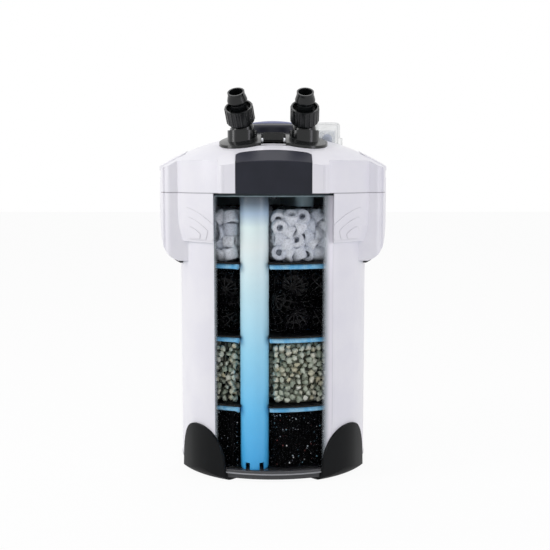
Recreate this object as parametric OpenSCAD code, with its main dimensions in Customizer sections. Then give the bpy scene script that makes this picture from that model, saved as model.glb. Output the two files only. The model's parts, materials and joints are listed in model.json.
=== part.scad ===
// Canister filter for an aquarium: a tall canister with a clear front,
// four stacked media baskets, and a domed pump head that is clamped on by
// two lever latches and carries a plug-in hose valve block.
// Millimetres. Z is up, the front faces -Y, the origin is under the middle.

/* [Canister] */
// Half of the canister's width, front to back and side to side
body_half = 113.5; // [108:0.5:118]
// Radius of the canister's gently bowed sides
body_side_r = 150; // [140:1:165]
// Radius of the canister's upright corners
body_corner_r = 60; // [50:1:66]
// Thickness of the canister's wall
wall = 3.2; // [2.4:0.1:4]
// Thickness of the canister's floor
floor_t = 3; // [2.5:0.5:5]
// Height of the seam between the canister and the head
seam_z = 333.5; // [331:0.5:345]
// Height of the underside of the canister's floor
base_z = 11; // [9:0.5:15]
// Half of the clear front's width
window_half = 68; // [62:1:71]

/* [Collar and wings] */
// Radius of the round collar under the seam
collar_r = 128; // [126:0.5:129]
// Radius of the collar where it runs out on the canister
collar_foot_r = 123; // [121:0.5:124]
// Height of the collar below the seam
collar_drop = 56.5; // [54:0.5:64]
// Straight upper part of the collar, below the seam
collar_straight = 22; // [15:1:30]
// Distance of a side wing's end from the middle
wing_reach = 138.5; // [136:0.5:141]
// Distance of the head's front and rear faces from the middle
front_reach = 130; // [129:0.5:132]
// Radius of the head's bowed front and rear faces
front_end_r = 420; // [300:10:600]
// Half of a wing's width
wing_half = 62; // [58:1:64]
// Radius of a wing's bowed end
wing_end_r = 180; // [160:5:220]
// Upright upper part of a wing, below the seam
wing_straight = 16; // [12:1:20]
// Radius of the slow bend under it
wing_bend_r = 137; // [125:1:150]
// Angle over which a wing bends before it curls under, in degrees
wing_bend = 19.5; // [18:0.5:20.5]
// Radius of a wing's curl under, at its lower end
wing_curl_r = 30; // [27:1:32]
// Height of a raised step of the collar's shell pattern
shell_step = 0.7; // [0.4:0.1:1]

/* [Head] */
// Radius of the head's dome
dome_r = 260; // [250:1:275]
// Height of the dome's top above the seam
dome_rise = 70.6; // [69:0.2:73]
// Thickness of the head's shell
shell_t = 3; // [2.4:0.1:4]
// Thickness of the head's deck
deck_t = 4; // [3:0.5:5]
// Radius of the seal's cord
seal_r = 1.6; // [1.2:0.1:1.8]

/* [Latches] */
// Half of a latch lever's width
latch_half = 41; // [36:0.5:44]
// Thickness of a latch lever
latch_t = 4; // [3:0.25:5]
// Height of a latch's pin above the seam
latch_pin_rise = 15; // [13:0.5:16]
// Distance of a latch's pin inside its wing's end
latch_pin_inset = 12.5; // [12:0.5:14]
// Radius of the barrel round a latch's pin
barrel_r = 7.5; // [6:0.5:8]
// Half width of the dark panels and caps on the head
panel_half = 42.5; // [42:0.5:45]
// Radius of a latch's pin
latch_pin_r = 2.5; // [2:0.1:3]
// Angle over which a latch bends before its tail curls under, in degrees
latch_bend = 21.7; // [21:0.1:23]
// Radius of the curl of a latch's tail
latch_curl_r = 33; // [32:0.5:35]

/* [Feet] */
// Height of a corner foot
foot_h = 63; // [50:1:68]
// Half of a corner foot's width
foot_half = 39.5; // [36:0.5:42]
// How far a foot is set towards the canister's side, off the diagonal
foot_shift = 4.5; // [2:0.5:6]
// How far a foot stands out of the canister
foot_proud = 3.2; // [2.5:0.1:4]
// Thickness of a foot's sole
sole_t = 4; // [3:0.5:6]

/* [Baskets and media] */
// Gap between the baskets and the canister
basket_gap = 3; // [2:0.5:5]
// Thickness of a basket's wall
basket_wall = 2.2; // [1.6:0.1:3]
// Thickness of a basket's floor
basket_floor = 1.8; // [1.5:0.1:3]
// Height of the lowest basket
basket_low_h = 73; // [66:1:75]
// Height of the second basket
basket_second_h = 81; // [74:1:82]
// Height of the third basket
basket_third_h = 85; // [78:1:86]
// Height of the top basket
basket_top_h = 61; // [55:1:62]
// Thickness of a filter pad
pad_t = 6.4; // [4:0.2:8]

/* [Downpipe] */
// Outer radius of the downpipe
pipe_r = 16.6; // [15:0.2:18]
// Wall of the downpipe
pipe_wall = 1.6; // [1.2:0.1:2.4]
// Sideways place of the downpipe
pipe_x = -22; // [-26:1:-16]

/* [Valve block and hose connectors] */
// Half of the distance between the two hose sockets
socket_half = 36; // [34:0.5:38]
// Place of the sockets in front of the middle
socket_front = 62; // [60:0.5:64]
// Outer radius of a hose socket
socket_r = 17.3; // [16.5:0.1:18]
// Height of a socket's top above the seam
socket_rise = 71.8; // [70:0.2:73]
// Radius of the water way in the sockets and connectors
way_r = 8; // [6.5:0.1:8.4]
// Lean of a hose connector from upright, in degrees
lean = 34; // [25:1:36]
// Turn of the inlet connector at rest, in degrees
inlet_turn = -14; // [-20:1:0]
// Outer radius of a union nut
nut_r = 16.8; // [15:0.1:17]
// Length of a union nut
nut_len = 21.5; // [18:0.5:23]
// Number of grip ribs round a union nut
nut_ribs = 18; // [12:1:24]
// Radius of the hose tail at its tip
tail_r = 9.8; // [9.4:0.1:10.4]
// Radius of the hose tail's barb
barb_r = 11.6; // [11:0.1:12.2]

/* [Pump] */
// Radius of the motor cover on the head
cover_r = 54; // [50:0.5:55]
// Place of the motor cover behind the middle
cover_back = 28; // [26:0.5:32]
// Height of the motor cover's rim above the seam
cover_rise = 81; // [80:0.5:84]
// Radius of the primer button
button_r = 34; // [28:0.5:36]
// Travel of the primer button
button_travel = 6; // [4:0.5:8]
// Radius of the impeller
impeller_r = 21; // [18:0.5:23]

/* [Lamp] */
// Radius of the clear lamp cap
lamp_cap_r = 15.5; // [14:0.5:16]
// Height of the lamp cap's top above the seam
lamp_cap_rise = 83.5; // [82:0.5:88]

/* [Hidden] */
$fn = 96;
eps = 0.01;
join = 0.6;      // overlap of shapes that are drawn to run into one another
free = 0.4;      // gap between pieces that only pass each other
run = 0.06;      // radial clearance of a running fit
slip = 0.3;      // gap of a piece that is seated but loose

body_top = seam_z;
inner_half = body_half - wall;
floor_top = base_z + floor_t;
dome_c = seam_z + dome_rise - dome_r;
pin_x = wing_reach - latch_pin_inset;
pin_z = seam_z + latch_pin_rise;
latch_outer_x = wing_reach - slip;
bend_z = seam_z - wing_straight;         // where wings and latches start to bend
// rounded to a tenth, so that heights measured down from the seam end on it exactly
wing_low_z = round(10 * (curl_centre(wing_reach, wing_bend, wing_curl_r)[1] - wing_curl_r + 1.5)) / 10;
latch_low_z = round(10 * (curl_centre(latch_outer_x, latch_bend, latch_curl_r)[1] - latch_curl_r + 3)) / 10;
basket_half = inner_half - basket_gap;
pipe_y = -(inner_half - pipe_r - 3.3);
pipe_hole_r = pipe_r + free;
slot_reach = 58;                           // half the length of a basket's floor slots
tier_1_z = floor_top;                    // lowest basket
tier_2_z = tier_1_z + basket_low_h;
tier_3_z = tier_2_z + basket_second_h;
tier_4_z = tier_3_z + basket_third_h;
socket_y = -socket_front;
socket_top = seam_z + socket_rise;
well_floor = seam_z + 50;                // seat of the valve block in the head
well_half_y = socket_r + 6;
lobe_x = 31;
shaft_z = seam_z + 59.5;
shaft_r = 2;
swivel_z = socket_top + 1.6;             // where a connector starts to lean
journal_r = 13.6;                        // turns in a hose socket
journal_low = 8;                         // below where the connector leans
spigot_r = 11.4;                         // under the valve block, into the ducts
spigot_len = 8;
spigot_seal_r = 1.3;
spigot_bore_r = spigot_r + spigot_seal_r + 0.05;
port_r = 10;                             // ports through the deck
spigot_seal_z = well_floor - 5;
nut_start = 8.5;                         // along a connector, from the ball's centre
tail_end = 49;
tail_tip = 3.2;                          // straight part at the tip of a hose tail
cover_y = cover_back;
rim_t = 1.5;
cover_top = seam_z + cover_rise;
lamp_x = 66;
lamp_y = -10;
deck_z = seam_z - deck_t;
plunger_r = 6;
cylinder_r = 15;                         // bore of the primer's cylinder
cylinder_seat = cover_top - 21;          // where the cylinder's flange meets the motor cover
button_under = cover_top - 1;
pump_z = deck_z - 12;                    // underside of the impeller's cover
stator_h = 36;
stator_z = deck_z + deck_t;
flange_t = 3;

white = [0.93, 0.93, 0.95];
charcoal = [0.14, 0.15, 0.17];
slate = [0.22, 0.23, 0.28];
black = [0.06, 0.06, 0.07];
steel = [0.75, 0.76, 0.78];
sky = [0.45, 0.78, 0.95];

// ---------- shared outlines ----------

// Distance from the middle to the centre of a bowed side's circle
function side_offset(half) = body_side_r - (body_half - half) - half;

// Distance along X and Y to the centre of a corner's circle
function corner_centre(half) =
    let (e = side_offset(half), q = body_side_r - (body_half - half) - corner_radius(half))
    (-e + sqrt(2 * q * q - e * e)) / 2;

function corner_radius(half) = body_corner_r - (body_half - half);

// The canister's outline at a given half width: four bowed sides, rounded corners
module outline(half) {
    big = body_side_r - (body_half - half);
    e = side_offset(half);
    c = corner_centre(half);
    cr = corner_radius(half);
    // direction from a big circle's centre through a corner circle's centre
    tilt = atan2(c, c + e);
    touch = [c + cr * sin(tilt), c + cr * cos(tilt)];
    chord = (touch[0] + touch[1]) / sqrt(2);
    difference() {
        intersection_for (a = [0:90:270]) rotate(a) translate([0, e]) circle(big);
        for (a = [45:90:315]) rotate(a) translate([chord, -half]) square(2 * half);
    }
    for (a = [0:90:270]) rotate(a) translate([c, c]) circle(cr);
}

// One wing's outline, reaching along +X
module wing_outline(reach, half, end_r) {
    round_r = 7;
    edge = reach - bow(end_r, half);
    intersection() {
        translate([0, -half]) square([reach + 5, 2 * half]);
        translate([reach - end_r, 0]) circle(end_r, $fn = 240);
        union() {
            translate([0, -half + round_r]) square([reach + 5, 2 * (half - round_r)]);
            translate([0, -half]) square([edge - round_r, 2 * half]);
            for (s = [-1, 1]) translate([edge - round_r, s * (half - round_r)]) circle(round_r);
        }
    }
}

// How far a bowed end of the given radius falls back at its edge
function bow(end_r, half) = end_r - sqrt(end_r * end_r - half * half);

// The head's outline: a round collar, two side wings, a front and a rear face
module head_outline() {
    circle(collar_r);
    for (a = [0, 180]) rotate(a) wing_outline(wing_reach, wing_half, wing_end_r);
    for (a = [90, 270]) rotate(a) wing_outline(front_reach, wing_half, front_end_r);
}

// Turns children to a side: 0 right, 90 rear, 180 left, 270 front
module on_side(a) { rotate([0, 0, a]) children(); }

// ---------- canister ----------

// Centre, in X and Z, of the curl at the lower end of a wing or latch
function curl_centre(reach, bend, curl_r) = [
    reach - wing_bend_r + (wing_bend_r - curl_r) * cos(bend),
    bend_z - (wing_bend_r - curl_r) * sin(bend)
];

// Side profile in X and Z: upright, then a slow bend, then a curl under; moved in by the inset
module side_profile(reach, bend, curl_r, low, inset = 0) {
    curl_z = bend_z - wing_bend_r * sin(bend);
    translate([60, bend_z]) square([reach - inset - 60, 100]);
    intersection() {
        translate([reach - wing_bend_r, bend_z]) circle(wing_bend_r - inset, $fn = 240);
        translate([60, curl_z]) square([100, bend_z - curl_z + join]);
    }
    intersection() {
        translate(curl_centre(reach, bend, curl_r)) circle(curl_r - inset);
        translate([60, low]) square([100, curl_z - low + join]);
    }
}

// A profile drawn in X and Z, extruded along Y across the given half width
module across(half) {
    rotate([90, 0, 0]) translate([0, 0, -half]) linear_extrude(2 * half) children();
}

module lower_wing() {
    intersection() {
        translate([0, 0, wing_low_z]) linear_extrude(seam_z - wing_low_z)
            wing_outline(wing_reach, wing_half, wing_end_r);
        across(wing_half + 1) side_profile(wing_reach, wing_bend, wing_curl_r, wing_low_z);
    }
}

// A solid bounded by a latch's outer faces, all moved in by the given inset
module latch_block(inset) {
    intersection() {
        across(latch_half + 5) side_profile(latch_outer_x, latch_bend, latch_curl_r, latch_low_z - 10, inset);
        translate([latch_outer_x - wing_end_r, 0, 200]) cylinder(r = wing_end_r - inset, h = 200, $fn = 240);
    }
}

// The room that a latch lever needs in the canister's wing
module latch_pocket() {
    half = latch_half + slip;
    difference() {
        translate([60, -half, wing_low_z - 5]) cube([wing_reach, 2 * half, seam_z - wing_low_z + 5 + eps]);
        linear_extrude(2 * seam_z) outline(body_half);
    }
}

module collar(grow = 0) {
    inner = body_half - 14;
    rotate_extrude() translate([grow, 0]) polygon([
        [inner, seam_z - collar_drop], [collar_foot_r, seam_z - collar_drop],
        [collar_foot_r + 2.5, seam_z - collar_drop + 10],
        [collar_r - 0.8, seam_z - collar_straight - 14],
        [collar_r, seam_z - collar_straight], [collar_r, seam_z], [inner, seam_z]
    ]);
}

// Nested shells raised on the collar's corners, each smaller and a step higher
shell_hinge = [-4, 5.5];                   // where the shells meet, from the corner and the collar's foot
shell_shrink = 0.32;                       // how much smaller each next shell is
module shell_pattern() {
    for (a = [45:90:315], i = [0:2]) intersection() {
        collar(shell_step * (i + 1));
        rotate([0, 0, a]) rotate([90, 0, 90]) translate([0, seam_z - collar_drop + shell_hinge[1], 90])
            linear_extrude(60) mirror([a == 45 || a == 225 ? 0 : 1, 0]) translate([shell_hinge[0], 0])
                scale(1 - shell_shrink * i) one_shell();
    }
}

// A shell that opens away from the wing, with its hinge at the origin
module one_shell() {
    intersection() {
        translate([5, 17]) circle(30);
        translate([8, 0]) circle(39.5);
        translate([-20.5, -45]) circle(80);
        translate([-40, -3]) square([100, 60]);
    }
}

module canister_shell() color(white) {
    difference() {
        union() {
            translate([0, 0, base_z]) linear_extrude(body_top - base_z) outline(body_half);
            collar();
            shell_pattern();
            for (a = [0, 180]) on_side(a) lower_wing();
        }
        translate([0, 0, floor_top]) linear_extrude(body_top) outline(inner_half);
        // opening for the clear front
        translate([-window_half, -wing_reach - 5, floor_top])
            cube([2 * window_half, wing_reach - 40, body_top]);
        for (a = [0, 180]) on_side(a) latch_pocket();
        seal_groove();
    }
}

module seal_groove() {
    translate([0, 0, seam_z - 2 * seal_r + 0.4]) linear_extrude(2 * seal_r) difference() {
        outline(inner_half + 0.9 + 2 * seal_r);
        translate([0, 0]) outline(inner_half - 1);
    }
}

module front_window() color([0.8, 0.92, 0.98, 0.3]) {
    difference() {
        intersection() {
            translate([0, 0, floor_top]) linear_extrude(body_top - floor_top) difference() {
                outline(body_half);
                outline(inner_half);
            }
            translate([-window_half + 0.05, -wing_reach, 0])
                cube([2 * window_half - 0.1, wing_reach - 40, body_top]);
        }
        seal_groove();
    }
}

module base_plinth() color(charcoal) {
    translate([0, 0, sole_t]) linear_extrude(base_z - rim_t - sole_t) difference() {
        outline(body_half - 1.5);
        outline(body_half - 16);
    }
}

module base_rim() color([0.7, 0.7, 0.7]) {
    translate([0, 0, base_z - rim_t]) linear_extrude(rim_t) difference() {
        outline(body_half + 0.5);
        outline(body_half - 16);
    }
}

// Arch of a corner foot, seen square on, as one formula
function arch(half, height, power, steps) = [
    for (i = [0:steps]) let (t = -half + 2 * half * i / steps)
        [t, height * pow(1 - pow(abs(t) / half, power), 1 / power)]
];

module corner_foot(lean) color(charcoal) {
    round_r = 13;
    difference() {
        intersection() {
            linear_extrude(foot_h + 1) outline(body_half + foot_proud);
            // rounds the lower edge
            rotate_extrude() {
                square([corner_reach() - round_r, foot_h + 2]);
                translate([0, round_r]) square([corner_reach() + 4, foot_h + 2 - round_r]);
                translate([corner_reach() - round_r, round_r]) circle(round_r);
            }
            // the arch, seen along the diagonal
            rotate([0, 0, 45]) rotate([90, 0, 90]) translate([0, 0, 60])
                linear_extrude(90) translate([lean * foot_shift, 0]) polygon(arch(foot_half, foot_h, 2.3, 32));
        }
        translate([0, 0, sole_t]) linear_extrude(base_z) outline(body_half - 1.5 + 0.02);
        translate([0, 0, base_z - rim_t]) linear_extrude(rim_t + 0.02) outline(body_half + 0.52);
        translate([0, 0, base_z]) linear_extrude(foot_h + 2) outline(body_half + 0.02);
    }
}

// Reach of the feet's corners along the diagonal
function corner_reach() =
    corner_centre(body_half + foot_proud) * sqrt(2) + corner_radius(body_half + foot_proud);

// ---------- inside the canister ----------

module pipe_hole() { translate([pipe_x, pipe_y]) circle(pipe_hole_r); }

// Way from the downpipe straight to the front
module pipe_way() {
    translate([pipe_x - pipe_hole_r + 1, -body_half]) square([2 * pipe_hole_r - 2, body_half + pipe_y]);
}

module downpipe() color(sky) {
    difference() {
        translate([pipe_x, pipe_y, floor_top]) cylinder(r = pipe_r, h = deck_z - floor_top);
        translate([pipe_x, pipe_y, floor_top - 1]) cylinder(r = pipe_r - pipe_wall, h = seam_z);
        // foot openings that let the water out
        for (a = [0:60:300]) translate([pipe_x, pipe_y, floor_top]) rotate([0, 0, a])
            translate([pipe_r - 4, -3, -1]) cube([8, 6, 9]);
    }
}

// A basket: slotted floor, wall with an open front, and a notch for the downpipe
module basket(z, h) color(black) {
    bar = 7;
    translate([0, 0, z]) difference() {
        union() {
            linear_extrude(basket_floor) outline(basket_half);
            linear_extrude(h) difference() {
                outline(basket_half);
                outline(basket_half - basket_wall);
            }
            intersection() {
                translate([pipe_x, pipe_y]) cylinder(r = pipe_hole_r + 1.6, h = basket_floor);
                linear_extrude(basket_floor) outline(inner_half - 2 * slip);
            }
        }
        translate([0, 0, -1]) linear_extrude(h + 2) pipe_hole();
        // the floor is open in front of the downpipe too
        translate([0, 0, -1]) linear_extrude(h + 2) pipe_way();
        // open front, behind the clear window
        translate([-window_half + 1, -body_half, basket_floor])
            cube([2 * window_half - 2, 60, h]);
        // slots through the floor
        for (i = [-6:6]) translate([i * 2 * bar - bar / 2, -slot_reach, -1])
            cube([bar, 2 * slot_reach, basket_floor + 2]);
        // slots in the side and rear walls
        for (a = [0, 90, 180]) on_side(a)
            for (i = [-3:3]) translate([basket_half - 12, i * 14 - 3, basket_floor + 8])
                cube([24, 6, h - basket_floor - 16]);
    }
}

// A bed of loose media in a basket, from a basket's floor up to the pad above it
module bed(z, h) {
    translate([0, 0, z + basket_floor]) linear_extrude(h) difference() {
        outline(basket_half - basket_wall - 0.3);
        translate([pipe_x, pipe_y]) circle(pipe_hole_r + 0.4);
        pipe_way();
        translate([-window_half + 1, -body_half]) square([2 * window_half - 2, body_half - 0.985 * basket_half]);
    }
}

module pad(z) color(sky) {
    translate([0, 0, z - pad_t]) linear_extrude(pad_t) difference() {
        outline(basket_half - basket_wall - 0.3);
        translate([pipe_x, pipe_y]) circle(pipe_hole_r + 0.4);
        pipe_way();
    }
}

module ceramic_ring() {
    difference() {
        cylinder(r = 8.5, h = 15, center = true);
        cylinder(r = 4.6, h = 16, center = true);
    }
}

// Ceramic tubes lie on the bed in rings, half sunk in it
module ceramic_media() color([0.93, 0.93, 0.9]) {
    bed(tier_4_z, basket_top_h - basket_floor - 10);
    top = tier_4_z + basket_top_h - 10;
    for (r = [34, 60, 86], i = [0:1:floor(r / 4.5)])
        let (a = 360 * i / (floor(r / 4.5) + 1) + r)
        if (norm([r * cos(a) - pipe_x, r * sin(a) - pipe_y]) > pipe_r + 14)
            translate([r * cos(a), r * sin(a), top + 1])
                rotate([90, 0, a + 40 * (i % 3)]) ceramic_ring();
}

// ---------- head ----------

module dome(r) { translate([0, 0, dome_c]) sphere(r, $fn = 180); }

// The valve block's outline from above: two lobes joined by a waist
module lobes(r, waist) {
    for (s = [-1, 1]) translate([s * lobe_x, socket_y]) circle(r);
    translate([-lobe_x, socket_y - waist]) square([2 * lobe_x, 2 * waist]);
}

module valve_well(grow) {
    translate([0, 0, well_floor - grow]) linear_extrude(60)
        lobes(well_half_y + 3 + grow, well_half_y + grow);
}

// The room that a latch needs in the head, under its cap
module head_latch_pocket() {
    half = latch_half + slip;
    intersection() {
        translate([pin_x - barrel_r - 1, -half, seam_z - 1]) cube([wing_reach, 2 * half, 80]);
        dome(dome_r - shell_t - 0.5);
    }
    translate([pin_x, half + 12, pin_z]) rotate([90, 0, 0])
        cylinder(r = latch_pin_r + 0.02, h = 2 * half + 24);
}

// Seat of the dark cap on a wing's sloping top
module cap_seat(reach, depth, clear) {
    intersection() {
        translate([reach - depth, -panel_half - clear, seam_z + 5])
            cube([wing_reach, 2 * (panel_half + clear), 80]);
        difference() {
            dome(dome_r + 1);
            dome(dome_r - shell_t - clear);
        }
    }
}
wing_cap_depth = 34;                       // from a wing's tip to its cap's inner edge
face_cap_depth = 24;                       // the same on the front and rear faces

module head_shell() color(white) {
    difference() {
        intersection() {
            translate([0, 0, seam_z]) linear_extrude(dome_rise + 1) head_outline();
            union() {
                difference() {
                    dome(dome_r);
                    intersection() {
                        dome(dome_r - shell_t - 3);
                        translate([0, 0, seam_z - 1]) cylinder(r = inner_half - shell_t, h = 100);
                    }
                }
                intersection() {
                    valve_well(shell_t);
                    dome(dome_r - 1);
                    translate([0, 0, well_floor - shell_t]) cylinder(r = collar_r, h = 60);
                }
                intersection() {
                    for (p = [0:5]) deck_boss(p);
                    dome(dome_r - 1);
                }
            }
        }
        valve_well(0);
        for (s = [-1, 1]) translate([s * socket_half, socket_y, well_floor - 10])
            cylinder(r = spigot_bore_r, h = 20);
        for (a = [0, 180]) on_side(a) head_latch_pocket();
        for (a = [90, 270]) on_side(a) panel_seat();
        for (a = [0, 180]) on_side(a) cap_seat(wing_reach, wing_cap_depth, 0.05);
        for (a = [90, 270]) on_side(a) cap_seat(front_reach, face_cap_depth, 0.05);
        // motor cover's opening and the lamp's opening
        translate([0, cover_y, seam_z + 30]) cylinder(r = button_r + 4, h = 60);
        translate([lamp_x, lamp_y, seam_z + 30]) cylinder(r = lamp_cap_r - 3, h = 60);
        translate([0, 0, 0]) gland_hole();
        for (p = [0:5]) deck_screw_hole(p);
    }
}

// Six bosses round the head's underside take the deck's screws
function boss_at(p) = let (a = 30 + 60 * p) [101 * cos(a), 101 * sin(a)];
module deck_boss(p) { translate([boss_at(p)[0], boss_at(p)[1], seam_z]) cylinder(r = 5, h = 60); }
module deck_screw_hole(p) {
    translate([boss_at(p)[0], boss_at(p)[1], seam_z - 1]) cylinder(r = 1.75, h = 13);
}

module deck_screws() color(steel) {
    for (p = [0:5]) translate([boss_at(p)[0], boss_at(p)[1], deck_z - 2.4]) {
        difference() {
            cylinder(r = 3.4, h = 2.4);
            translate([-0.5, -2.4, -1]) cube([1, 4.8, 2]);
            translate([-2.4, -0.5, -1]) cube([4.8, 1, 2]);
        }
        cylinder(r = 1.7, h = 14);
    }
}

// Seat of the dark panel in the front or rear face
panel_h = dome_c + sqrt(dome_r * dome_r - front_reach * front_reach) - seam_z + slip;
panel_back = front_reach - bow(front_end_r, panel_half) - 3.6;
module panel_seat() {
    translate([panel_back - 0.05, -panel_half - 0.05, seam_z - 1])
        cube([20, 2 * (panel_half + 0.05), panel_h + 1]);
}

// A dark panel: its upright face and the part that runs back over the dome
module face_panel(a) color(slate) {
    on_side(a) union() {
        intersection() {
            translate([0, 0, seam_z]) linear_extrude(panel_h) wing_outline(front_reach, wing_half, front_end_r);
            translate([panel_back, -panel_half, seam_z]) cube([20, 2 * panel_half, panel_h]);
            dome(dome_r + 0.6);
        }
        cap_body(front_reach, face_cap_depth, front_end_r);
    }
}

module cap_body(reach, depth, end_r) {
    intersection() {
        translate([0, 0, seam_z]) linear_extrude(dome_rise + 4) wing_outline(reach, wing_half, end_r);
        translate([reach - depth + 0.2, 0, seam_z + 5]) linear_extrude(80) union() {
            translate([6, -panel_half]) square([wing_reach, 2 * panel_half]);
            translate([0, -panel_half + 6]) square([20, 2 * panel_half - 12]);
            for (s = [-1, 1]) translate([6, s * (panel_half - 6)]) circle(6);
        }
        difference() {
            dome(dome_r + 0.6);
            dome(dome_r - shell_t);
        }
    }
}

// The dark cap on top of a side wing, over the latch's pin
module wing_cap(a) color(slate) {
    on_side(a) cap_body(wing_reach, wing_cap_depth, wing_end_r);
}

module latch_pin(a) color(steel) {
    on_side(a) translate([pin_x, latch_half + 11.5, pin_z]) rotate([90, 0, 0])
        cylinder(r = latch_pin_r, h = 2 * (latch_half + 11.5));
}

// A latch lever: barrel round the pin, long cover plate with a curved tail, and a hook
module latch(a) color(slate) {
    low = pin_z - 7;
    on_side(a) difference() {
        union() {
            difference() {
                intersection() {
                    latch_block(0);
                    translate([pin_x - 20, -latch_half, latch_low_z])
                        cube([60, 2 * latch_half, pin_z + 2 - latch_low_z]);
                }
                difference() {
                    latch_block(latch_t);
                    // web between the plate and the barrel
                    translate([pin_x, -latch_half, low]) cube([40, 2 * latch_half, 40]);
                }
            }
            translate([pin_x, latch_half, pin_z]) rotate([90, 0, 0]) cylinder(r = barrel_r, h = 2 * latch_half);
            // hook that points in at the canister
            intersection() {
                translate([pin_x - 5, -latch_half + 4, seam_z - 17.5]) cube([40, 2 * latch_half - 8, 7]);
                latch_block(latch_t - join);
            }
        }
        translate([pin_x, latch_half + 1, pin_z]) rotate([90, 0, 0])
            cylinder(r = latch_pin_r + run, h = 2 * latch_half + 2);
        translate([0, 0, 200]) linear_extrude(200) outline(body_half + 0.6);
    }
}

// The deck closes the head below and carries the ports
module head_deck() color(charcoal) {
    difference() {
        union() {
            translate([0, 0, deck_z]) linear_extrude(deck_t) outline(inner_half - 0.4);
            translate([lamp_x, lamp_y, deck_z]) cylinder(r = 14, h = deck_t + 6);
        }
        translate([pipe_x, pipe_y, deck_z - 1]) cylinder(r = port_r, h = deck_t + 2);
        translate([0, cover_y, deck_z - 1]) cylinder(r = 12, h = deck_t + 2);
        translate([socket_half, socket_y, deck_z - 1]) cylinder(r = way_r, h = deck_t + 2);
        translate([lamp_x, lamp_y, deck_z - 1]) cylinder(r = 10.05, h = deck_t + 12);
        for (p = [0:5]) translate([boss_at(p)[0], boss_at(p)[1], deck_z - 1]) cylinder(r = 1.75, h = 10);
    }
}

module head_seal() color(black) {
    translate([0, 0, seam_z - 2 * seal_r + 0.5]) linear_extrude(2 * seal_r - 0.5) difference() {
        outline(inner_half + 0.6 + 2 * seal_r);
        outline(inner_half + 0.2);
    }
}

// ---------- pump and lamp ----------

module motor_cover() color(slate) {
    translate([0, cover_y, 0]) difference() {
        intersection() {
            rotate_extrude() difference() {
                union() {
                    translate([0, seam_z]) square([cover_r, cover_rise - 5]);
                    translate([0, seam_z]) square([cover_r - 5, cover_rise]);
                    translate([cover_r - 5, cover_top - 5]) circle(5);
                    polygon([[0, cover_top - 1], [cover_r - 5, cover_top - 1], [cover_r - 5, cover_top],
                        [button_r + 3, cover_top + 2], [0, cover_top + 2]]);
                }
                square([button_r + free, 600]);
            }
        }
        difference() {
            translate([0, -cover_y, 0]) dome(dome_r + 0.02);
            // a skirt that goes down through the head's opening
            translate([0, 0, cylinder_seat]) cylinder(r = button_r + 4 - 0.05, h = 60);
        }
        translate([0, 0, seam_z - 1]) cylinder(r = cover_r + 1, h = cylinder_seat - seam_z + 1);
    }
}

button_crown_r = 150;                      // the button's slightly domed top

module primer_button() color([0.12, 0.2, 0.5]) {
    translate([0, cover_y, 0]) rotate_extrude() {
        difference() {
            intersection() {
                translate([0, cover_top - 8]) square([button_r, 20]);
                translate([0, cover_top + 6.5 - button_crown_r]) circle(button_crown_r);
            }
            translate([0, cover_top - 9]) square([button_r - 3, 8]);
        }
    }
}

module primer_plunger() color(steel) {
    translate([0, cover_y, cylinder_seat - 8]) cylinder(r = cylinder_r - run, h = 5);
    translate([0, cover_y, cylinder_seat - 4]) cylinder(r = plunger_r, h = button_under - cylinder_seat + 4);
}

// The primer's cylinder hangs under the motor cover by its flange
module primer_cylinder() color(charcoal) {
    low = cylinder_seat - 3 - 16;
    translate([0, cover_y, 0]) difference() {
        union() {
            translate([0, 0, low]) cylinder(r = cylinder_r + 2, h = 18);
            translate([0, 0, cylinder_seat - 3]) cylinder(r = button_r + 3.5, h = 3);
        }
        translate([0, 0, low + 2]) cylinder(r = cylinder_r, h = 40);
        translate([0, 0, low - 1]) cylinder(r = 3, h = 5);
    }
}

// Points of a spring's wire, ring by ring
function helix_ring(k, n, turns, r, z0, height, wire) =
    let (a = 360 * turns * k / n, z = z0 + height * k / n)
    [for (s = [0:5]) let (b = 60 * s)
        [(r + wire * cos(b)) * cos(a), (r + wire * cos(b)) * sin(a), z + wire * sin(b)]];

spring_wire = 1;
module spring(turns, r, z0, height, wire) {
    n = turns * 8;
    points = [for (k = [0:n]) each helix_ring(k, n, turns, r, z0, height, wire)];
    sides = [for (k = [0:n - 1], s = [0:5]) each
        [[6 * k + s, 6 * k + (s + 1) % 6, 6 * k + 6 + s],
         [6 * k + (s + 1) % 6, 6 * k + 6 + (s + 1) % 6, 6 * k + 6 + s]]];
    ends = [for (s = [1:4]) each [[0, s + 1, s], [6 * n, 6 * n + s, 6 * n + s + 1]]];
    polyhedron(points, [for (f = concat(sides, ends)) [f[0], f[2], f[1]]]);
}

module primer_spring() color(steel) {
    translate([0, cover_y, 0])
        spring(5, 22, cylinder_seat + spring_wire, button_under - cylinder_seat - 2 * spring_wire, spring_wire);
}

module motor_stator() color(charcoal) {
    difference() {
        translate([0, cover_y, stator_z]) cylinder(r = 29, h = stator_h);
        translate([0, cover_y, stator_z - 1]) cylinder(r = 10.4, h = stator_h - 2);
        translate([0, cover_y, stator_z]) cylinder(r = shaft_seat_r, h = stator_h - 1);
    }
}

rotor_shaft_r = 2;
shaft_seat_r = rotor_shaft_r + 0.02;
module rotor_shaft() color([0.95, 0.95, 0.92]) {
    translate([0, cover_y, pump_z + 1]) cylinder(r = rotor_shaft_r, h = stator_z + stator_h - 1.1 - pump_z - 1);
}

module rotor_magnet() color([0.2, 0.2, 0.2]) {
    difference() {
        translate([0, cover_y, stator_z + 2]) cylinder(r = 9.6, h = 29);
        translate([0, cover_y, stator_z]) cylinder(r = rotor_shaft_r + run, h = 40);
    }
}

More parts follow.
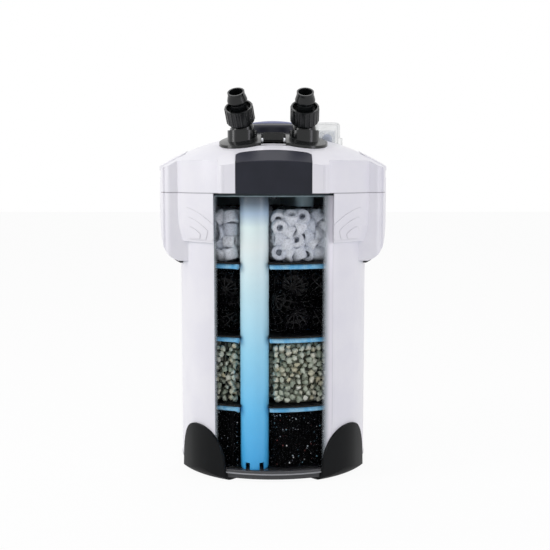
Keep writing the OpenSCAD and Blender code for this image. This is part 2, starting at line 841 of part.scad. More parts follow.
module impeller() color(black) {
    z = pump_z + 3;
    translate([0, cover_y, 0]) difference() {
        union() {
            translate([0, 0, z]) cylinder(r = 5, h = stator_z + 2 - z);
            translate([0, 0, z + 5]) cylinder(r = impeller_r, h = 1.6);
            for (a = [0:60:300]) rotate([0, 0, a]) translate([0, -1, z]) cube([impeller_r, 2, 6]);
        }
        translate([0, 0, z - 1]) cylinder(r = rotor_shaft_r + run, h = 40);
    }
}

// Outline of the pump's housing: a round chamber and its channel to the outlet port
module pump_outline(grow) {
    chamber = impeller_r + 1.5;
    translate([0, cover_y]) circle(chamber + grow);
    channel([chamber - way_r, cover_y], [socket_half, socket_y], way_r + 1 + grow);
}

module impeller_cover() color(charcoal) {
    wall_t = 2.4;
    difference() {
        translate([0, 0, pump_z]) linear_extrude(deck_z - pump_z) pump_outline(wall_t);
        translate([0, 0, pump_z + 2]) linear_extrude(deck_z - pump_z) pump_outline(0);
        // inlet slots under the impeller
        for (a = [0:45:315]) translate([0, cover_y, pump_z]) rotate([0, 0, a])
            translate([6, -2, -1]) cube([11, 4, 4]);
        translate([0, cover_y, pump_z + 0.9]) cylinder(r = shaft_seat_r, h = 4);
    }
}

module lamp_cap() color([0.85, 0.88, 0.88, 0.4]) {
    top = seam_z + lamp_cap_rise;
    translate([lamp_x, lamp_y, 0]) difference() {
        rotate_extrude() difference() {
            union() {
                translate([0, seam_z + 55]) square([lamp_cap_r, lamp_cap_rise - 55 - 4]);
                translate([0, top - 5]) square([lamp_cap_r - 4, 5]);
                translate([lamp_cap_r - 4, top - 4]) circle(4);
                translate([0, seam_z + 55]) square([lamp_cap_r + 3, 10]);
            }
            translate([-20, 0]) square([20, 600]);
            square([lamp_cap_r - 2, top - 2]);
        }
        translate([-lamp_x, -lamp_y, 0]) dome(dome_r + 0.02);
    }
}

sleeve_r = 10;                             // clear sleeve round the lamp
sleeve_h = 78;
sleeve_wall = 1.2;

module lamp_sleeve() color([0.85, 0.9, 1, 0.4]) {
    translate([lamp_x, lamp_y, 0]) difference() {
        translate([0, 0, deck_z]) cylinder(r = sleeve_r, h = sleeve_h);
        translate([0, 0, deck_z - 1]) cylinder(r = sleeve_r - sleeve_wall, h = sleeve_h + 1 - 1.4);
    }
}

module uv_lamp() color([0.75, 0.8, 1]) {
    translate([lamp_x, lamp_y, deck_z + 12]) {
        cylinder(r = 6, h = 56);
        translate([0, 0, 56]) sphere(6);
    }
}

module lamp_socket() color(white) {
    translate([lamp_x, lamp_y, deck_z]) cylinder(r = 8.7, h = 12);
}

// The riser under a hose socket, with a counterbore for the spigot
module riser(side, low) {
    translate([side * socket_half, socket_y, low])
        cylinder(r = spigot_bore_r + 2.2, h = well_floor - shell_t - low);
}
module riser_bore(side, low) {
    translate([side * socket_half, socket_y, low]) cylinder(r = way_r, h = 60);
    translate([side * socket_half, socket_y, well_floor - spigot_len - 0.5]) cylinder(r = spigot_bore_r, h = 20);
}

// The inlet's duct: a flat chamber over the downpipe, then a riser to the socket
module inlet_duct() color(charcoal) {
    chamber_h = 22;
    start = [pipe_x, pipe_y + 3];
    end = [-socket_half, socket_y];
    difference() {
        union() {
            translate([0, 0, seam_z]) linear_extrude(chamber_h) channel(start, end, port_r + 3.4);
            riser(-1, seam_z);
        }
        translate([0, 0, seam_z - 1]) linear_extrude(chamber_h - 1) channel(start, end, port_r);
        riser_bore(-1, seam_z);
    }
}

// A straight channel's outline with round ends, between two points; its sides lie just inside the ends
module channel(p, q, r) {
    v = q - p;
    side = 0.98 * r;
    translate(p) circle(r);
    translate(q) circle(r);
    translate(p) rotate(atan2(v[1], v[0])) translate([0, -side]) square([norm(v), 2 * side]);
}

module outlet_duct() color(charcoal) {
    difference() {
        riser(1, seam_z);
        riser_bore(1, seam_z - 1);
    }
}

module gland_hole() {
    rotate([0, 0, 135]) translate([collar_r - 20, 0, seam_z + 16]) rotate([0, 90, 0]) cylinder(r = 5.02, h = 30);
}

module cable_gland() color(black) {
    rotate([0, 0, 135]) translate([0, 0, seam_z + 16]) difference() {
        union() {
            translate([collar_r - 13.9, 0, 0]) rotate([0, 90, 0]) cylinder(r = 5, h = 14);
            translate([collar_r, 0, 0]) rotate([0, 90, 0]) cylinder(r = 8, h = 3);
            translate([collar_r + 3, 0, 0]) rotate([0, 90, 0]) cylinder(r1 = 6, r2 = 4.6, h = 7);
        }
        translate([collar_r - 20, 0, 0]) rotate([0, 90, 0]) cylinder(r = 3, h = 40);
    }
}

// ---------- valve block and hose connectors ----------

module valve_block() color(black) {
    difference() {
        union() {
            intersection() {
                translate([0, 0, well_floor]) linear_extrude(40)
                    lobes(well_half_y + 3 - slip, well_half_y - slip);
                dome(dome_r + flange_t);
            }
            flange();
            for (s = [-1, 1]) translate([s * socket_half, socket_y, well_floor - spigot_len])
                cylinder(r = spigot_r, h = spigot_len + 4);
            for (s = [-1, 1]) translate([s * socket_half, socket_y, well_floor + 4])
                cylinder(r = socket_r, h = socket_top - well_floor - 4);
        }
        for (s = [-1, 1]) translate([s * socket_half, socket_y, 0]) {
            translate([0, 0, well_floor - 9]) cylinder(r = way_r, h = 60);
            translate([0, 0, shaft_z]) sphere(way_r + 0.5);
            translate([0, 0, swivel_z - journal_low]) cylinder(r = journal_r + run, h = 20);
            translate([0, 0, spigot_seal_z]) rotate_extrude() translate([spigot_r, 0]) circle(spigot_seal_r);
        }
        // shaft's bore and the lever's slot
        translate([-socket_half - 12, socket_y, shaft_z]) rotate([0, 90, 0])
            cylinder(r = shaft_r + run, h = 2 * socket_half + 24);
        translate([-14.2, socket_y - 33, shaft_z - 5]) cube([28.4, 44, 40]);
    }
}

// Flange that follows the dome, with a lobe round each socket
module flange() {
    intersection() {
        translate([0, 0, well_floor]) linear_extrude(40) lobes(32, 29);
        difference() {
            dome(dome_r + flange_t);
            dome(dome_r + 0.02);
        }
    }
}

module spigot_seals() color(black) {
    for (s = [-1, 1]) translate([s * socket_half, socket_y, spigot_seal_z]) rotate_extrude()
        translate([spigot_r, 0]) circle(spigot_seal_r - 0.02);
}

module valve_shaft() color(steel) {
    translate([-socket_half - 11.5, socket_y, shaft_z]) rotate([0, 90, 0])
        cylinder(r = shaft_r, h = 2 * socket_half + 23);
    // bright collars either side of the lever
    for (s = [-1, 1]) translate([s * 12.9 - 1, socket_y, shaft_z]) rotate([0, 90, 0]) cylinder(r = 3.8, h = 2);
    // shut-off discs, edge on to the water while the lever is down
    for (s = [-1, 1]) translate([s * socket_half, socket_y + 1.2, shaft_z]) rotate([90, 0, 0])
        cylinder(r = way_r - 0.3, h = 2.4);
}

module valve_lever() color(black) {
    width = 23;
    tab_y = socket_y - 23;
    difference() {
        union() {
            translate([-width / 2, socket_y, shaft_z]) rotate([0, 90, 0]) cylinder(r = 4.4, h = width);
            translate([-width / 2, tab_y, shaft_z + 1]) cube([width, 23, 5]);
            translate([-width / 2, tab_y, shaft_z + 0.5]) cube([width, 4, 9]);
            for (i = [-4:4]) translate([i * 2.5 - 0.6, tab_y - 1, shaft_z + 0.8]) cube([1.2, 2, 8.4]);
        }
        translate([-width, socket_y, shaft_z]) rotate([0, 90, 0]) cylinder(r = shaft_r + 0.01, h = 2 * width);
    }
}

// Carries children from a connector's own frame, along +Z, to its socket
module at_socket(side, turn) {
    translate([side * socket_half, socket_y, swivel_z]) rotate([0, 0, turn]) rotate([lean, 0, 0]) children();
}

module connector(side, turn) color(black) {
    difference() {
        union() {
            translate([side * socket_half, socket_y, swivel_z]) sphere(journal_r);
            translate([side * socket_half, socket_y, swivel_z - journal_low]) cylinder(r = journal_r, h = journal_low);
            at_socket(side, turn) rotate_extrude() polygon([
                [0, 0], [11, 0], [11, nut_start + nut_len - 9], [9, nut_start + nut_len - 6],
                [9, 34.5], [barb_r, 38.2], [barb_r, 39.2], [tail_r, tail_end - tail_tip],
                [tail_r, tail_end], [0, tail_end]
            ]);
        }
        at_socket(side, turn) translate([0, 0, 1]) cylinder(r = way_r, h = tail_end);
        at_socket(side, turn) sphere(way_r + 0.2);
        translate([side * socket_half, socket_y, swivel_z - journal_low - 1]) cylinder(r = way_r, h = journal_low + 1);
        // flat underside
        translate([side * socket_half - 20, socket_y - 20, swivel_z - journal_low - 20]) cube([40, 40, 20]);
    }
}

module union_nut(side, turn) color(black) {
    chamfer = 3;
    rib_r = 1.3;
    rib_proud = 0.7;
    core_r = nut_r - rib_proud;
    at_socket(side, turn) difference() {
        union() {
            rotate_extrude() polygon([
                [0, nut_start], [core_r - chamfer + 0.4, nut_start], [core_r, nut_start + chamfer],
                [core_r, nut_start + nut_len], [0, nut_start + nut_len]
            ]);
            for (i = [0:nut_ribs - 1]) rotate([0, 0, (i + 0.5) * 360 / nut_ribs])
                translate([nut_r - rib_r, 0, nut_start + chamfer + 1]) cylinder(r = rib_r, h = nut_len - chamfer - 2.2);
        }
        translate([0, 0, nut_start - 1]) cylinder(r = 11 + run, h = nut_len);
        translate([0, 0, nut_start + nut_len - 8]) cylinder(r = nut_r - 2.6, h = 9);
    }
}

canister_shell();
front_window();
base_plinth();
base_rim();
on_side(180) corner_foot(-1);  // foot_front_left
on_side(270) corner_foot(1);  // foot_front_right
on_side(90) corner_foot(1);  // foot_rear_left
on_side(0) corner_foot(-1);  // foot_rear_right
downpipe();
basket(tier_1_z, basket_low_h);  // basket_carbon
basket(tier_2_z, basket_second_h);  // basket_gravel
basket(tier_3_z, basket_third_h);  // basket_bio
basket(tier_4_z, basket_top_h);  // basket_ceramic
color(black) bed(tier_1_z, basket_low_h - basket_floor - pad_t);  // carbon_media
color([0.8, 0.78, 0.68]) bed(tier_2_z, basket_second_h - basket_floor - pad_t);  // gravel_media
color([0.1, 0.1, 0.1]) bed(tier_3_z, basket_third_h - basket_floor - pad_t);  // bio_media
ceramic_media();
pad(tier_2_z);  // pad_lower
pad(tier_3_z);  // pad_middle
pad(tier_4_z);  // pad_upper
head_shell();
head_deck();
head_seal();
deck_screws();
face_panel(270);  // front_panel
face_panel(90);  // rear_panel
wing_cap(180);  // cap_left
wing_cap(0);  // cap_right
latch_pin(180);  // pin_left
latch_pin(0);  // pin_right
latch(180);  // latch_left
latch(0);  // latch_right
motor_cover();
motor_stator();
rotor_shaft();
rotor_magnet();
impeller();
impeller_cover();
primer_button();
primer_plunger();
primer_spring();
primer_cylinder();
lamp_cap();
lamp_sleeve();
uv_lamp();
lamp_socket();
inlet_duct();
outlet_duct();
cable_gland();
valve_block();
valve_shaft();
valve_lever();
spigot_seals();
connector(-1, inlet_turn);  // inlet_connector
connector(1, 0);  // outlet_connector
union_nut(-1, inlet_turn);  // inlet_nut
union_nut(1, 0);  // outlet_nut
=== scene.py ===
"""Finishes, filter media and studio for a pond and aquarium canister filter.

The moulded bodies come from the fixed frame and only get their finishes
here. The loose media and the sponge pads are built in this file. Lengths
are in metres.
"""

import json
import logging
import math
from dataclasses import dataclass
from enum import Enum
from functools import reduce

import bpy
import numpy as np
from mathutils import Euler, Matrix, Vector
from mathutils.geometry import delaunay_2d_cdt

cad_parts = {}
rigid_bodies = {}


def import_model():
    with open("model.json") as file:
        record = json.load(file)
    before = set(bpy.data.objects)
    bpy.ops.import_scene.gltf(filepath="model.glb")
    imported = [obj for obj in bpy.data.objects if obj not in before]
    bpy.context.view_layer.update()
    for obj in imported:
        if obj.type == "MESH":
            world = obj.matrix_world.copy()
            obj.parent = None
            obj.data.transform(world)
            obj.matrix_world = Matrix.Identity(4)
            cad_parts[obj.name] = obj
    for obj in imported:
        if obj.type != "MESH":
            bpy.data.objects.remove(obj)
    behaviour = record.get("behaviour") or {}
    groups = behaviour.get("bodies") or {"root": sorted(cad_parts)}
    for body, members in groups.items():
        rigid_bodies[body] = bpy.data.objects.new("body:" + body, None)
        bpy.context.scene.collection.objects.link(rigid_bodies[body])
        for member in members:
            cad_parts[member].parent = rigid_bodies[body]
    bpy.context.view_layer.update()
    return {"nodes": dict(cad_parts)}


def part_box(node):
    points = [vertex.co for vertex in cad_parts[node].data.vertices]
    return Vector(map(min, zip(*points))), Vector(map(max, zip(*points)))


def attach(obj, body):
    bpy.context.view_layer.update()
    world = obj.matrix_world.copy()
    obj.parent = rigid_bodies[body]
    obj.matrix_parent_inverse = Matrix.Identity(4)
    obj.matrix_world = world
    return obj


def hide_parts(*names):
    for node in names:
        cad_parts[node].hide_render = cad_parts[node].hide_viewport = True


LOG = logging.getLogger("canister_filter")
Colour = tuple[float, float, float]
Node, Tree, Socket = bpy.types.Node, bpy.types.NodeTree, bpy.types.NodeSocket
Sockets = bpy.types.bpy_prop_collection
Value = Socket | Node | float | bool | str | tuple
Material, Piece = bpy.types.Material, bpy.types.Object


def hex_colour(code: str) -> Colour:
    """Turns an sRGB colour into Blender's linear one.

    Args:
        code: six hexadecimal digits, without a leading sign.

    Returns:
        Linear red, green and blue, each from 0 to 1.
    """
    parts = [int(code[i:i + 2], 16) / 255 for i in (0, 2, 4)]
    return tuple(c / 12.92 if c <= 0.04045 else ((c + 0.055) / 1.055) ** 2.4 for c in parts)


def shades(codes: str) -> tuple[Colour, ...]:
    """Turns several sRGB colours, parted by spaces, into linear ones."""
    return tuple(hex_colour(code) for code in codes.split())


# ---------------------------------------------------------------- node trees


class Graph:
    """Short way to add and join nodes in one node tree."""

    def __init__(self, tree: Tree) -> None:
        """Keeps the tree that the nodes go into."""
        self.tree = tree

    def add(self, kind: str, props: dict | None = None, **inputs: Value) -> Node:
        """Adds a node and fills its sockets.

        Args:
            kind: the node's type name.
            props: properties set on the node itself.
            **inputs: values or output sockets by input name, spaces as "_".

        Returns:
            The new node.
        """
        node = self.tree.nodes.new(kind)
        for key, value in (props or {}).items():
            setattr(node, key, value)
        return self.fill(node, **inputs)

    def fill(self, node: Node, *by_place: Value, **by_name: Value) -> Node:
        """Feeds a node's inputs.

        Args:
            node: the node.
            *by_place: values in the order of its inputs.
            **by_name: values by input name, spaces as "_".

        Returns:
            The same node.
        """
        for i, value in enumerate(by_place):
            self.feed(node, i, value)
        for key, value in by_name.items():
            self.feed(node, key.replace("_", " "), value)
        return node

    def feed(self, node: Node, name: str | int, value: Value) -> None:
        """Links something to a node's input, or sets the input's value.

        Args:
            node: the node.
            name: the input's name or place.
            value: what goes in; a node stands for its first output.
        """
        sockets = [s for s in node.inputs if s.name == name and s.enabled] if isinstance(name, str) else []
        socket = node.inputs[name] if isinstance(name, int) else sockets[0]
        if isinstance(value, (Socket, Node)):
            self.tree.links.new(value.outputs[0] if isinstance(value, Node) else value, socket)
        elif socket.type == "RGBA" and len(value) == 3:
            socket.default_value = (*value, 1.0)
        else:
            socket.default_value = value

    def math(self, operation: str, *values: Value) -> Socket:
        """Adds a Math node on the given values and returns its result."""
        return self.fill(self.add("ShaderNodeMath", {"operation": operation}), *values).outputs[0]

    def times(self, *values: Value) -> Socket:
        """Multiplies all the values and returns the product."""
        return reduce(lambda product, value: self.math("MULTIPLY", product, value), values)

    def vector(self, operation: str, first: Value, other: Value | None = None) -> Socket:
        """Adds a Vector Math node.

        Args:
            operation: the node's operation.
            first: its first vector.
            other: its second vector, or the scale.

        Returns:
            The vector, or the value of a dot product.
        """
        node = self.fill(self.add("ShaderNodeVectorMath", {"operation": operation}), first)
        if other is not None:
            self.feed(node, "Scale" if operation == "SCALE" else 1, other)
        return node.outputs["Value" if operation == "DOT_PRODUCT" else "Vector"]

    def noise(self, place: Socket, size: Socket | float, **inputs: Value) -> Socket:
        """Adds a Noise Texture whose bumps have the given size, and returns its value."""
        scale = self.math("DIVIDE", 1.0, size) if isinstance(size, Socket) else 1 / size
        return self.add("ShaderNodeTexNoise", Vector=place, Scale=scale, **inputs).outputs[0]

    def ramp(self, factor: Socket, stops: list | tuple, constant: bool = False) -> Socket:
        """Adds a colour ramp.

        Args:
            factor: the value that picks the colour.
            stops: (position, colour) pairs in order.
            constant: True for hard steps between the colours.

        Returns:
            The colour.
        """
        node = self.add("ShaderNodeValToRGB", Fac=factor)
        if constant:
            node.color_ramp.interpolation = "CONSTANT"
        table = node.color_ramp.elements
        for element, (at, colour) in zip(table, (stops[0], stops[-1])):
            element.position, element.color = at, (*colour, 1)
        for at, colour in stops[1:-1]:
            table.new(at).color = (*colour, 1)
        return node.outputs[0]

    def seen(self) -> Socket:
        """Returns 1 where the eye sees a surface, straight or in a mirror or glass, and 0 for its light."""
        path = self.add("ShaderNodeLightPath").outputs
        return self.math("MAXIMUM", self.math("MAXIMUM", path["Is Camera Ray"], path["Is Glossy Ray"]),
                         path["Is Transmission Ray"])

    def band(self, value: Socket, low: float, high: float, smooth: bool = True) -> Socket:
        """Maps a value from low..high to 0..1, clamped, and returns the result."""
        mode = {"interpolation_type": "SMOOTHSTEP"} if smooth else {}
        return self.fill(self.add("ShaderNodeMapRange", mode), value, low, high, 0.0, 1.0).outputs[0]

    def mix(self, mask: Value, under: Value, over: Value) -> Socket:
        """Mixes two colours.

        Args:
            mask: how much of the upper colour shows.
            under: the lower colour.
            over: the upper colour.

        Returns:
            The mixed colour.
        """
        node = self.add("ShaderNodeMix", {"data_type": "RGBA"})
        self.feed(node, 0, mask)
        self.feed(node, 6, under)
        self.feed(node, 7, over)
        return node.outputs[2]

    def bump(self, height: Socket, depth: float, **more: Value) -> Socket:
        """Adds a Bump node of the given depth in metres and returns its normal."""
        return self.add("ShaderNodeBump", Height=height, Distance=depth, **more).outputs[0]

    def place(self) -> Socket:
        """Returns the point's place on the piece, in metres."""
        return self.add("ShaderNodeTexCoord").outputs["Object"]

    def facing(self) -> Socket:
        """Returns the way the surface faces."""
        return self.add("ShaderNodeNewGeometry").outputs["Normal"]

    def axes(self, vector: Socket) -> list[Socket]:
        """Splits a vector and returns its X, Y and Z."""
        return list(self.add("ShaderNodeSeparateXYZ", Vector=vector).outputs)


class Effect(Enum):
    """Surface effects that several finishes share."""

    GRAIN = "moulded grain"
    WEAR = "edge wear"
    CLOUD = "clouding"
    DUST = "settled dust"
    PORES = "sponge pores"
    SPECKS = "specks"


class EffectShelf:
    """Builds each shared effect once and places it in materials."""

    def __init__(self) -> None:
        """Starts with no effect built."""
        self.groups: dict[Effect, Tree] = {}

    def put(self, graph: Graph, effect: Effect, **inputs: Value) -> Node:
        """Places an effect in a material.

        Args:
            graph: the material's graph.
            effect: which effect to place.
            **inputs: values or sockets by the effect's input names.

        Returns:
            The group node, whose outputs are masks, heights or normals.
        """
        if effect not in self.groups:
            self.groups[effect] = self._build(effect)
        return graph.add("ShaderNodeGroup", {"node_tree": self.groups[effect]}, **inputs)

    def mask(self, graph: Graph, effect: Effect, **inputs: Value) -> Socket:
        """Places an effect and returns its mask."""
        return self.put(graph, effect, **inputs).outputs["Mask"]

    def _build(self, effect: Effect) -> Tree:
        """Makes the node group of one effect.

        Args:
            effect: which one.

        Returns:
            The group, with its inputs and outputs.
        """
        maker, sizes, gives = {
            Effect.GRAIN: (self._grain, {"Cell": 0.0006, "Peel": 0.006}, ("Height", "Mask")),
            Effect.WEAR: (self._wear, {"Radius": 0.0005, "Break up": 0.01}, ("Mask", "Normal")),
            Effect.CLOUD: (self._cloud, {"Size": 0.05}, ("Mask",)),
            Effect.DUST: (self._dust, {"Amount": 0.1}, ("Mask",)),
            Effect.PORES: (self._pores, {"Cell": 0.0012}, ("Height", "Mask")),
            Effect.SPECKS: (self._specks, {"Cell": 0.002, "Share": 0.1}, ("Mask", "Choice")),
        }[effect]
        tree = bpy.data.node_groups.new(effect.value, "ShaderNodeTree")
        tree.interface.new_socket("Place", in_out="INPUT", socket_type="NodeSocketVector")
        for name, value in sizes.items():
            socket = tree.interface.new_socket(name, in_out="INPUT", socket_type="NodeSocketFloat")
            socket.default_value = value
        for name in gives:
            kind = "NodeSocketVector" if name == "Normal" else "NodeSocketFloat"
            tree.interface.new_socket(name, in_out="OUTPUT", socket_type=kind)
        maker(Graph(tree), tree.nodes.new("NodeGroupInput").outputs, tree.nodes.new("NodeGroupOutput"))
        return tree

    @staticmethod
    def _grain(g: Graph, take: Sockets, out: Node) -> None:
        """Fine texture of a moulded surface, with a broad orange peel under it.

        Args:
            g: the group's graph.
            take: its inputs by name.
            out: its output node.
        """
        fine = g.noise(take["Place"], take["Cell"], Detail=3.0)
        broad = g.noise(take["Place"], take["Peel"], Detail=1.0)
        height = g.math("ADD", g.times(fine, 0.4), g.times(broad, 0.6))
        g.fill(out, Height=height, Mask=g.band(fine, 0.35, 0.65))

    @staticmethod
    def _wear(g: Graph, take: Sockets, out: Node) -> None:
        """Rounded corners, and a broken mask along them.

        Args:
            g: the group's graph.
            take: its inputs by name.
            out: its output node.
        """
        bevel = g.add("ShaderNodeBevel", {"samples": 4}, Radius=take["Radius"])
        true = g.facing()
        edge = g.band(g.vector("DOT_PRODUCT", bevel.outputs[0], true), 0.99, 0.8)
        broken = g.band(g.noise(take["Place"], take["Break up"], Detail=4.0), 0.35, 0.7)
        g.fill(out, Mask=g.times(edge, broken), Normal=bevel)

    @staticmethod
    def _cloud(g: Graph, take: Sockets, out: Node) -> None:
        """Soft, broad variation of tone."""
        g.fill(out, g.band(g.noise(take["Place"], take["Size"], Detail=4.0, Roughness=0.55), 0.32, 0.68))

    @staticmethod
    def _dust(g: Graph, take: Sockets, out: Node) -> None:
        """Thin dust on faces that look upwards.

        Args:
            g: the group's graph.
            take: its inputs by name.
            out: its output node.
        """
        up = g.axes(g.facing())[2]
        noise = g.noise(take["Place"], 0.00625, Detail=6.0, Roughness=0.7)
        g.fill(out, g.times(g.band(up, 0.55, 1.0), g.band(noise, 0.3, 0.75), take["Amount"]))

    @staticmethod
    def _pores(g: Graph, take: Sockets, out: Node) -> None:
        """Open cells of a foam.

        Args:
            g: the group's graph.
            take: its inputs by name.
            out: its output node.
        """
        scale = g.math("DIVIDE", 1.0, take["Cell"])
        small = g.add("ShaderNodeTexVoronoi", {"feature": "SMOOTH_F1"}, Vector=take["Place"], Scale=scale)
        large = g.add("ShaderNodeTexVoronoi", Vector=take["Place"], Scale=g.times(scale, 0.37))
        near, far = small.outputs["Distance"], large.outputs["Distance"]
        height = g.math("ADD", g.times(g.band(near, 0.0, 0.55), 0.6), g.times(g.band(far, 0.0, 0.6), 0.4))
        g.fill(out, Height=height, Mask=g.band(near, 0.45, 0.1))

    @staticmethod
    def _specks(g: Graph, take: Sockets, out: Node) -> None:
        """Scattered points, each with a random value of its own.

        Args:
            g: the group's graph.
            take: its inputs by name.
            out: its output node.
        """
        scale = g.math("DIVIDE", 1.0, take["Cell"])
        dots = g.add("ShaderNodeTexVoronoi", Vector=take["Place"], Scale=scale)
        share, choice, _ = g.axes(dots.outputs["Color"])
        dot = g.band(dots.outputs["Distance"], 0.34, 0.22)
        g.fill(out, Mask=g.times(g.math("LESS_THAN", share, take["Share"]), dot), Choice=choice)


# ------------------------------------------------------------------ finishes


SHELF = EffectShelf()


@dataclass(frozen=True)
class Finish:
    """What every finish shares: its name and how its material is made."""

    name: str

    def build(self) -> Material:
        """Makes the material, a Principled shader that the finish then dresses.

        Returns:
            The finished material.
        """
        material = bpy.data.materials.new(self.name)
        material.use_nodes = True
        graph = Graph(material.node_tree)
        self.dress(graph, material.node_tree.nodes["Principled BSDF"], graph.place())
        return material

    def dress(self, g: Graph, shader: Node, place: Socket) -> None:
        """Adds the finish's own nodes.

        Args:
            g: the material's graph.
            shader: its Principled shader.
            place: the point's place on the piece.
        """
        raise NotImplementedError


@dataclass(frozen=True)
class MouldedPlastic(Finish):
    """Injection-moulded plastic with grain, softened corners and light wear."""

    colour: Colour
    cloud: Colour
    worn: Colour
    roughness: float = 0.4
    cell: float = 0.0005
    peel: float = 0.006
    depth: float = 0.00004
    corner: float = 0.0005
    wear: float = 0.5
    dust: float = 0.04
    gloss: float = 0.5
    coat: float = 0.0

    def tone(self, g: Graph, place: Socket) -> Socket:
        """Returns the colour before wear and dust go over it."""
        cloud = SHELF.mask(g, Effect.CLOUD, Place=place, Size=0.045)
        return g.mix(cloud, self.colour, self.cloud)

    def dress(self, g: Graph, shader: Node, place: Socket) -> None:
        """Dresses the plastic.

        Args:
            g: the material's graph.
            shader: its Principled shader.
            place: the point's place on the piece.
        """
        grain = SHELF.put(g, Effect.GRAIN, Place=place, Cell=self.cell, Peel=self.peel)
        wear = SHELF.put(g, Effect.WEAR, Place=place, Radius=self.corner)
        dust = SHELF.mask(g, Effect.DUST, Place=place, Amount=self.dust)
        worn = g.mix(g.times(wear.outputs["Mask"], self.wear), self.tone(g, place), self.worn)
        rough = g.math("MULTIPLY_ADD", grain.outputs["Mask"], 0.06, self.roughness - 0.03)
        normal = g.bump(grain.outputs["Height"], self.depth, Normal=wear.outputs["Normal"])
        g.fill(shader, Base_Color=g.mix(dust, worn, hex_colour("b9b7b2")),
               Roughness=g.math("ADD", rough, g.times(dust, 0.5)), Normal=normal,
               Specular_IOR_Level=self.gloss)
        if self.coat:
            g.fill(shader, Coat_Weight=self.coat, Coat_Roughness=0.08)


@dataclass(frozen=True)
class ShellPlastic(MouldedPlastic):
    """White housing plastic whose inner wall is painted blue-grey: the water's tint, made lighter as painted
    light for the dim inside.
    """

    # painted light: blue-grey of the inner wall, lighter than the dim closed inside would show it
    inside: Colour = (0.2, 0.25, 0.28)
    # colour of the painted shadow along the seam between head and canister
    seam_shadow: Colour = (0.3, 0.3, 0.33)
    top: float = 0.3333
    seam: float = 0.3335
    cut_half: float = 0.0688
    sill: float = 0.0142
    wall_reach: float = 0.1215
    cut_back: float = -0.05
    # near-black colour of the painted shade below the window's sill
    edge: Colour = (0.05, 0.05, 0.055)

    def tone(self, g: Graph, place: Socket) -> Socket:
        """Adds a painted shadow along the seam, painted light in the inner wall's blue-grey, and painted
        shade under the window.

        Args:
            g: the material's graph.
            place: the point's place on the piece.

        Returns:
            The colour before wear and dust.
        """
        x, y, z = g.axes(place)
        off_seam = g.math("ABSOLUTE", g.math("SUBTRACT", z, self.seam))
        # painted shadow: a thin dark line along the seam, where shade falls between head and canister
        line = g.band(off_seam, 0.0008, 0.0003)
        outside = g.mix(g.times(line, 0.8), super().tone(g, place), self.seam_shadow)
        aside, ahead = g.math("ABSOLUTE", x), g.math("ABSOLUTE", y)
        reach = g.math("SQRT", g.math("ADD", g.math("POWER", aside, 2.0), g.math("POWER", ahead, 2.0)))
        inward = g.math("LESS_THAN", g.vector("DOT_PRODUCT", g.facing(), place), -0.02)
        off_cut = g.math("MAXIMUM", g.math("GREATER_THAN", y, self.cut_back),
                         g.math("GREATER_THAN", aside, self.cut_half))
        # painted light: the inner wall, clear of the window's cut, takes the lightened blue-grey
        mask = g.times(inward, g.math("LESS_THAN", reach, self.wall_reach),
                       g.math("LESS_THAN", z, self.top), off_cut)
        # painted shade: near-black on the shell below the window's sill, across the window's width
        shade_under_window = g.times(g.math("LESS_THAN", z, self.sill), g.math("LESS_THAN", aside, self.cut_half))
        return g.mix(shade_under_window, g.mix(mask, outside, self.inside), self.edge)


@dataclass(frozen=True)
class LeverPlastic(MouldedPlastic):
    """White cover plate that ends in a dark grip."""

    grip: Colour = (0.05, 0.05, 0.06)
    split: float = 0.2775

    def tone(self, g: Graph, place: Socket) -> Socket:
        """Returns the plate's white, and the grip's colour under the split."""
        under = g.band(g.axes(place)[2], self.split + 0.0003, self.split - 0.0003)
        return g.mix(under, super().tone(g, place), self.grip)


@dataclass(frozen=True)
class PanelPlastic(MouldedPlastic):
    """Slate cover plastic, a little lighter above a crease."""

    upper: Colour = (0.06, 0.06, 0.08)
    crease: float = 0.3687

    def tone(self, g: Graph, place: Socket) -> Socket:
        """Returns the slate, with the lighter band over the crease."""
        above = g.band(g.axes(place)[2], self.crease - 0.0006, self.crease + 0.0006)
        return g.mix(above, super().tone(g, place), self.upper)


@dataclass(frozen=True)
class MachinedMetal(Finish):
    """Turned or drawn stainless steel with fine rings and smears."""

    colour: Colour
    roughness: float = 0.25
    line: float = 0.0004

    def dress(self, g: Graph, shader: Node, place: Socket) -> None:
        """Dresses the metal.

        Args:
            g: the material's graph.
            shader: its Principled shader.
            place: the point's place on the piece.
        """
        rings = g.add("ShaderNodeTexWave", {"wave_type": "BANDS", "bands_direction": "Z"},
                      Vector=place, Scale=1 / self.line / 6, Distortion=1.5, Detail=2.0)
        smear = SHELF.mask(g, Effect.CLOUD, Place=place, Size=0.008)
        wear = SHELF.put(g, Effect.WEAR, Place=place, Radius=0.0002)
        dark = tuple(c * 0.8 for c in self.colour)
        normal = g.bump(rings.outputs[0], 0.00003, Strength=0.25, Normal=wear.outputs["Normal"])
        g.fill(shader, Base_Color=g.mix(smear, self.colour, dark), Metallic=1.0, Normal=normal,
               Roughness=g.math("MULTIPLY_ADD", smear, 0.12, self.roughness))


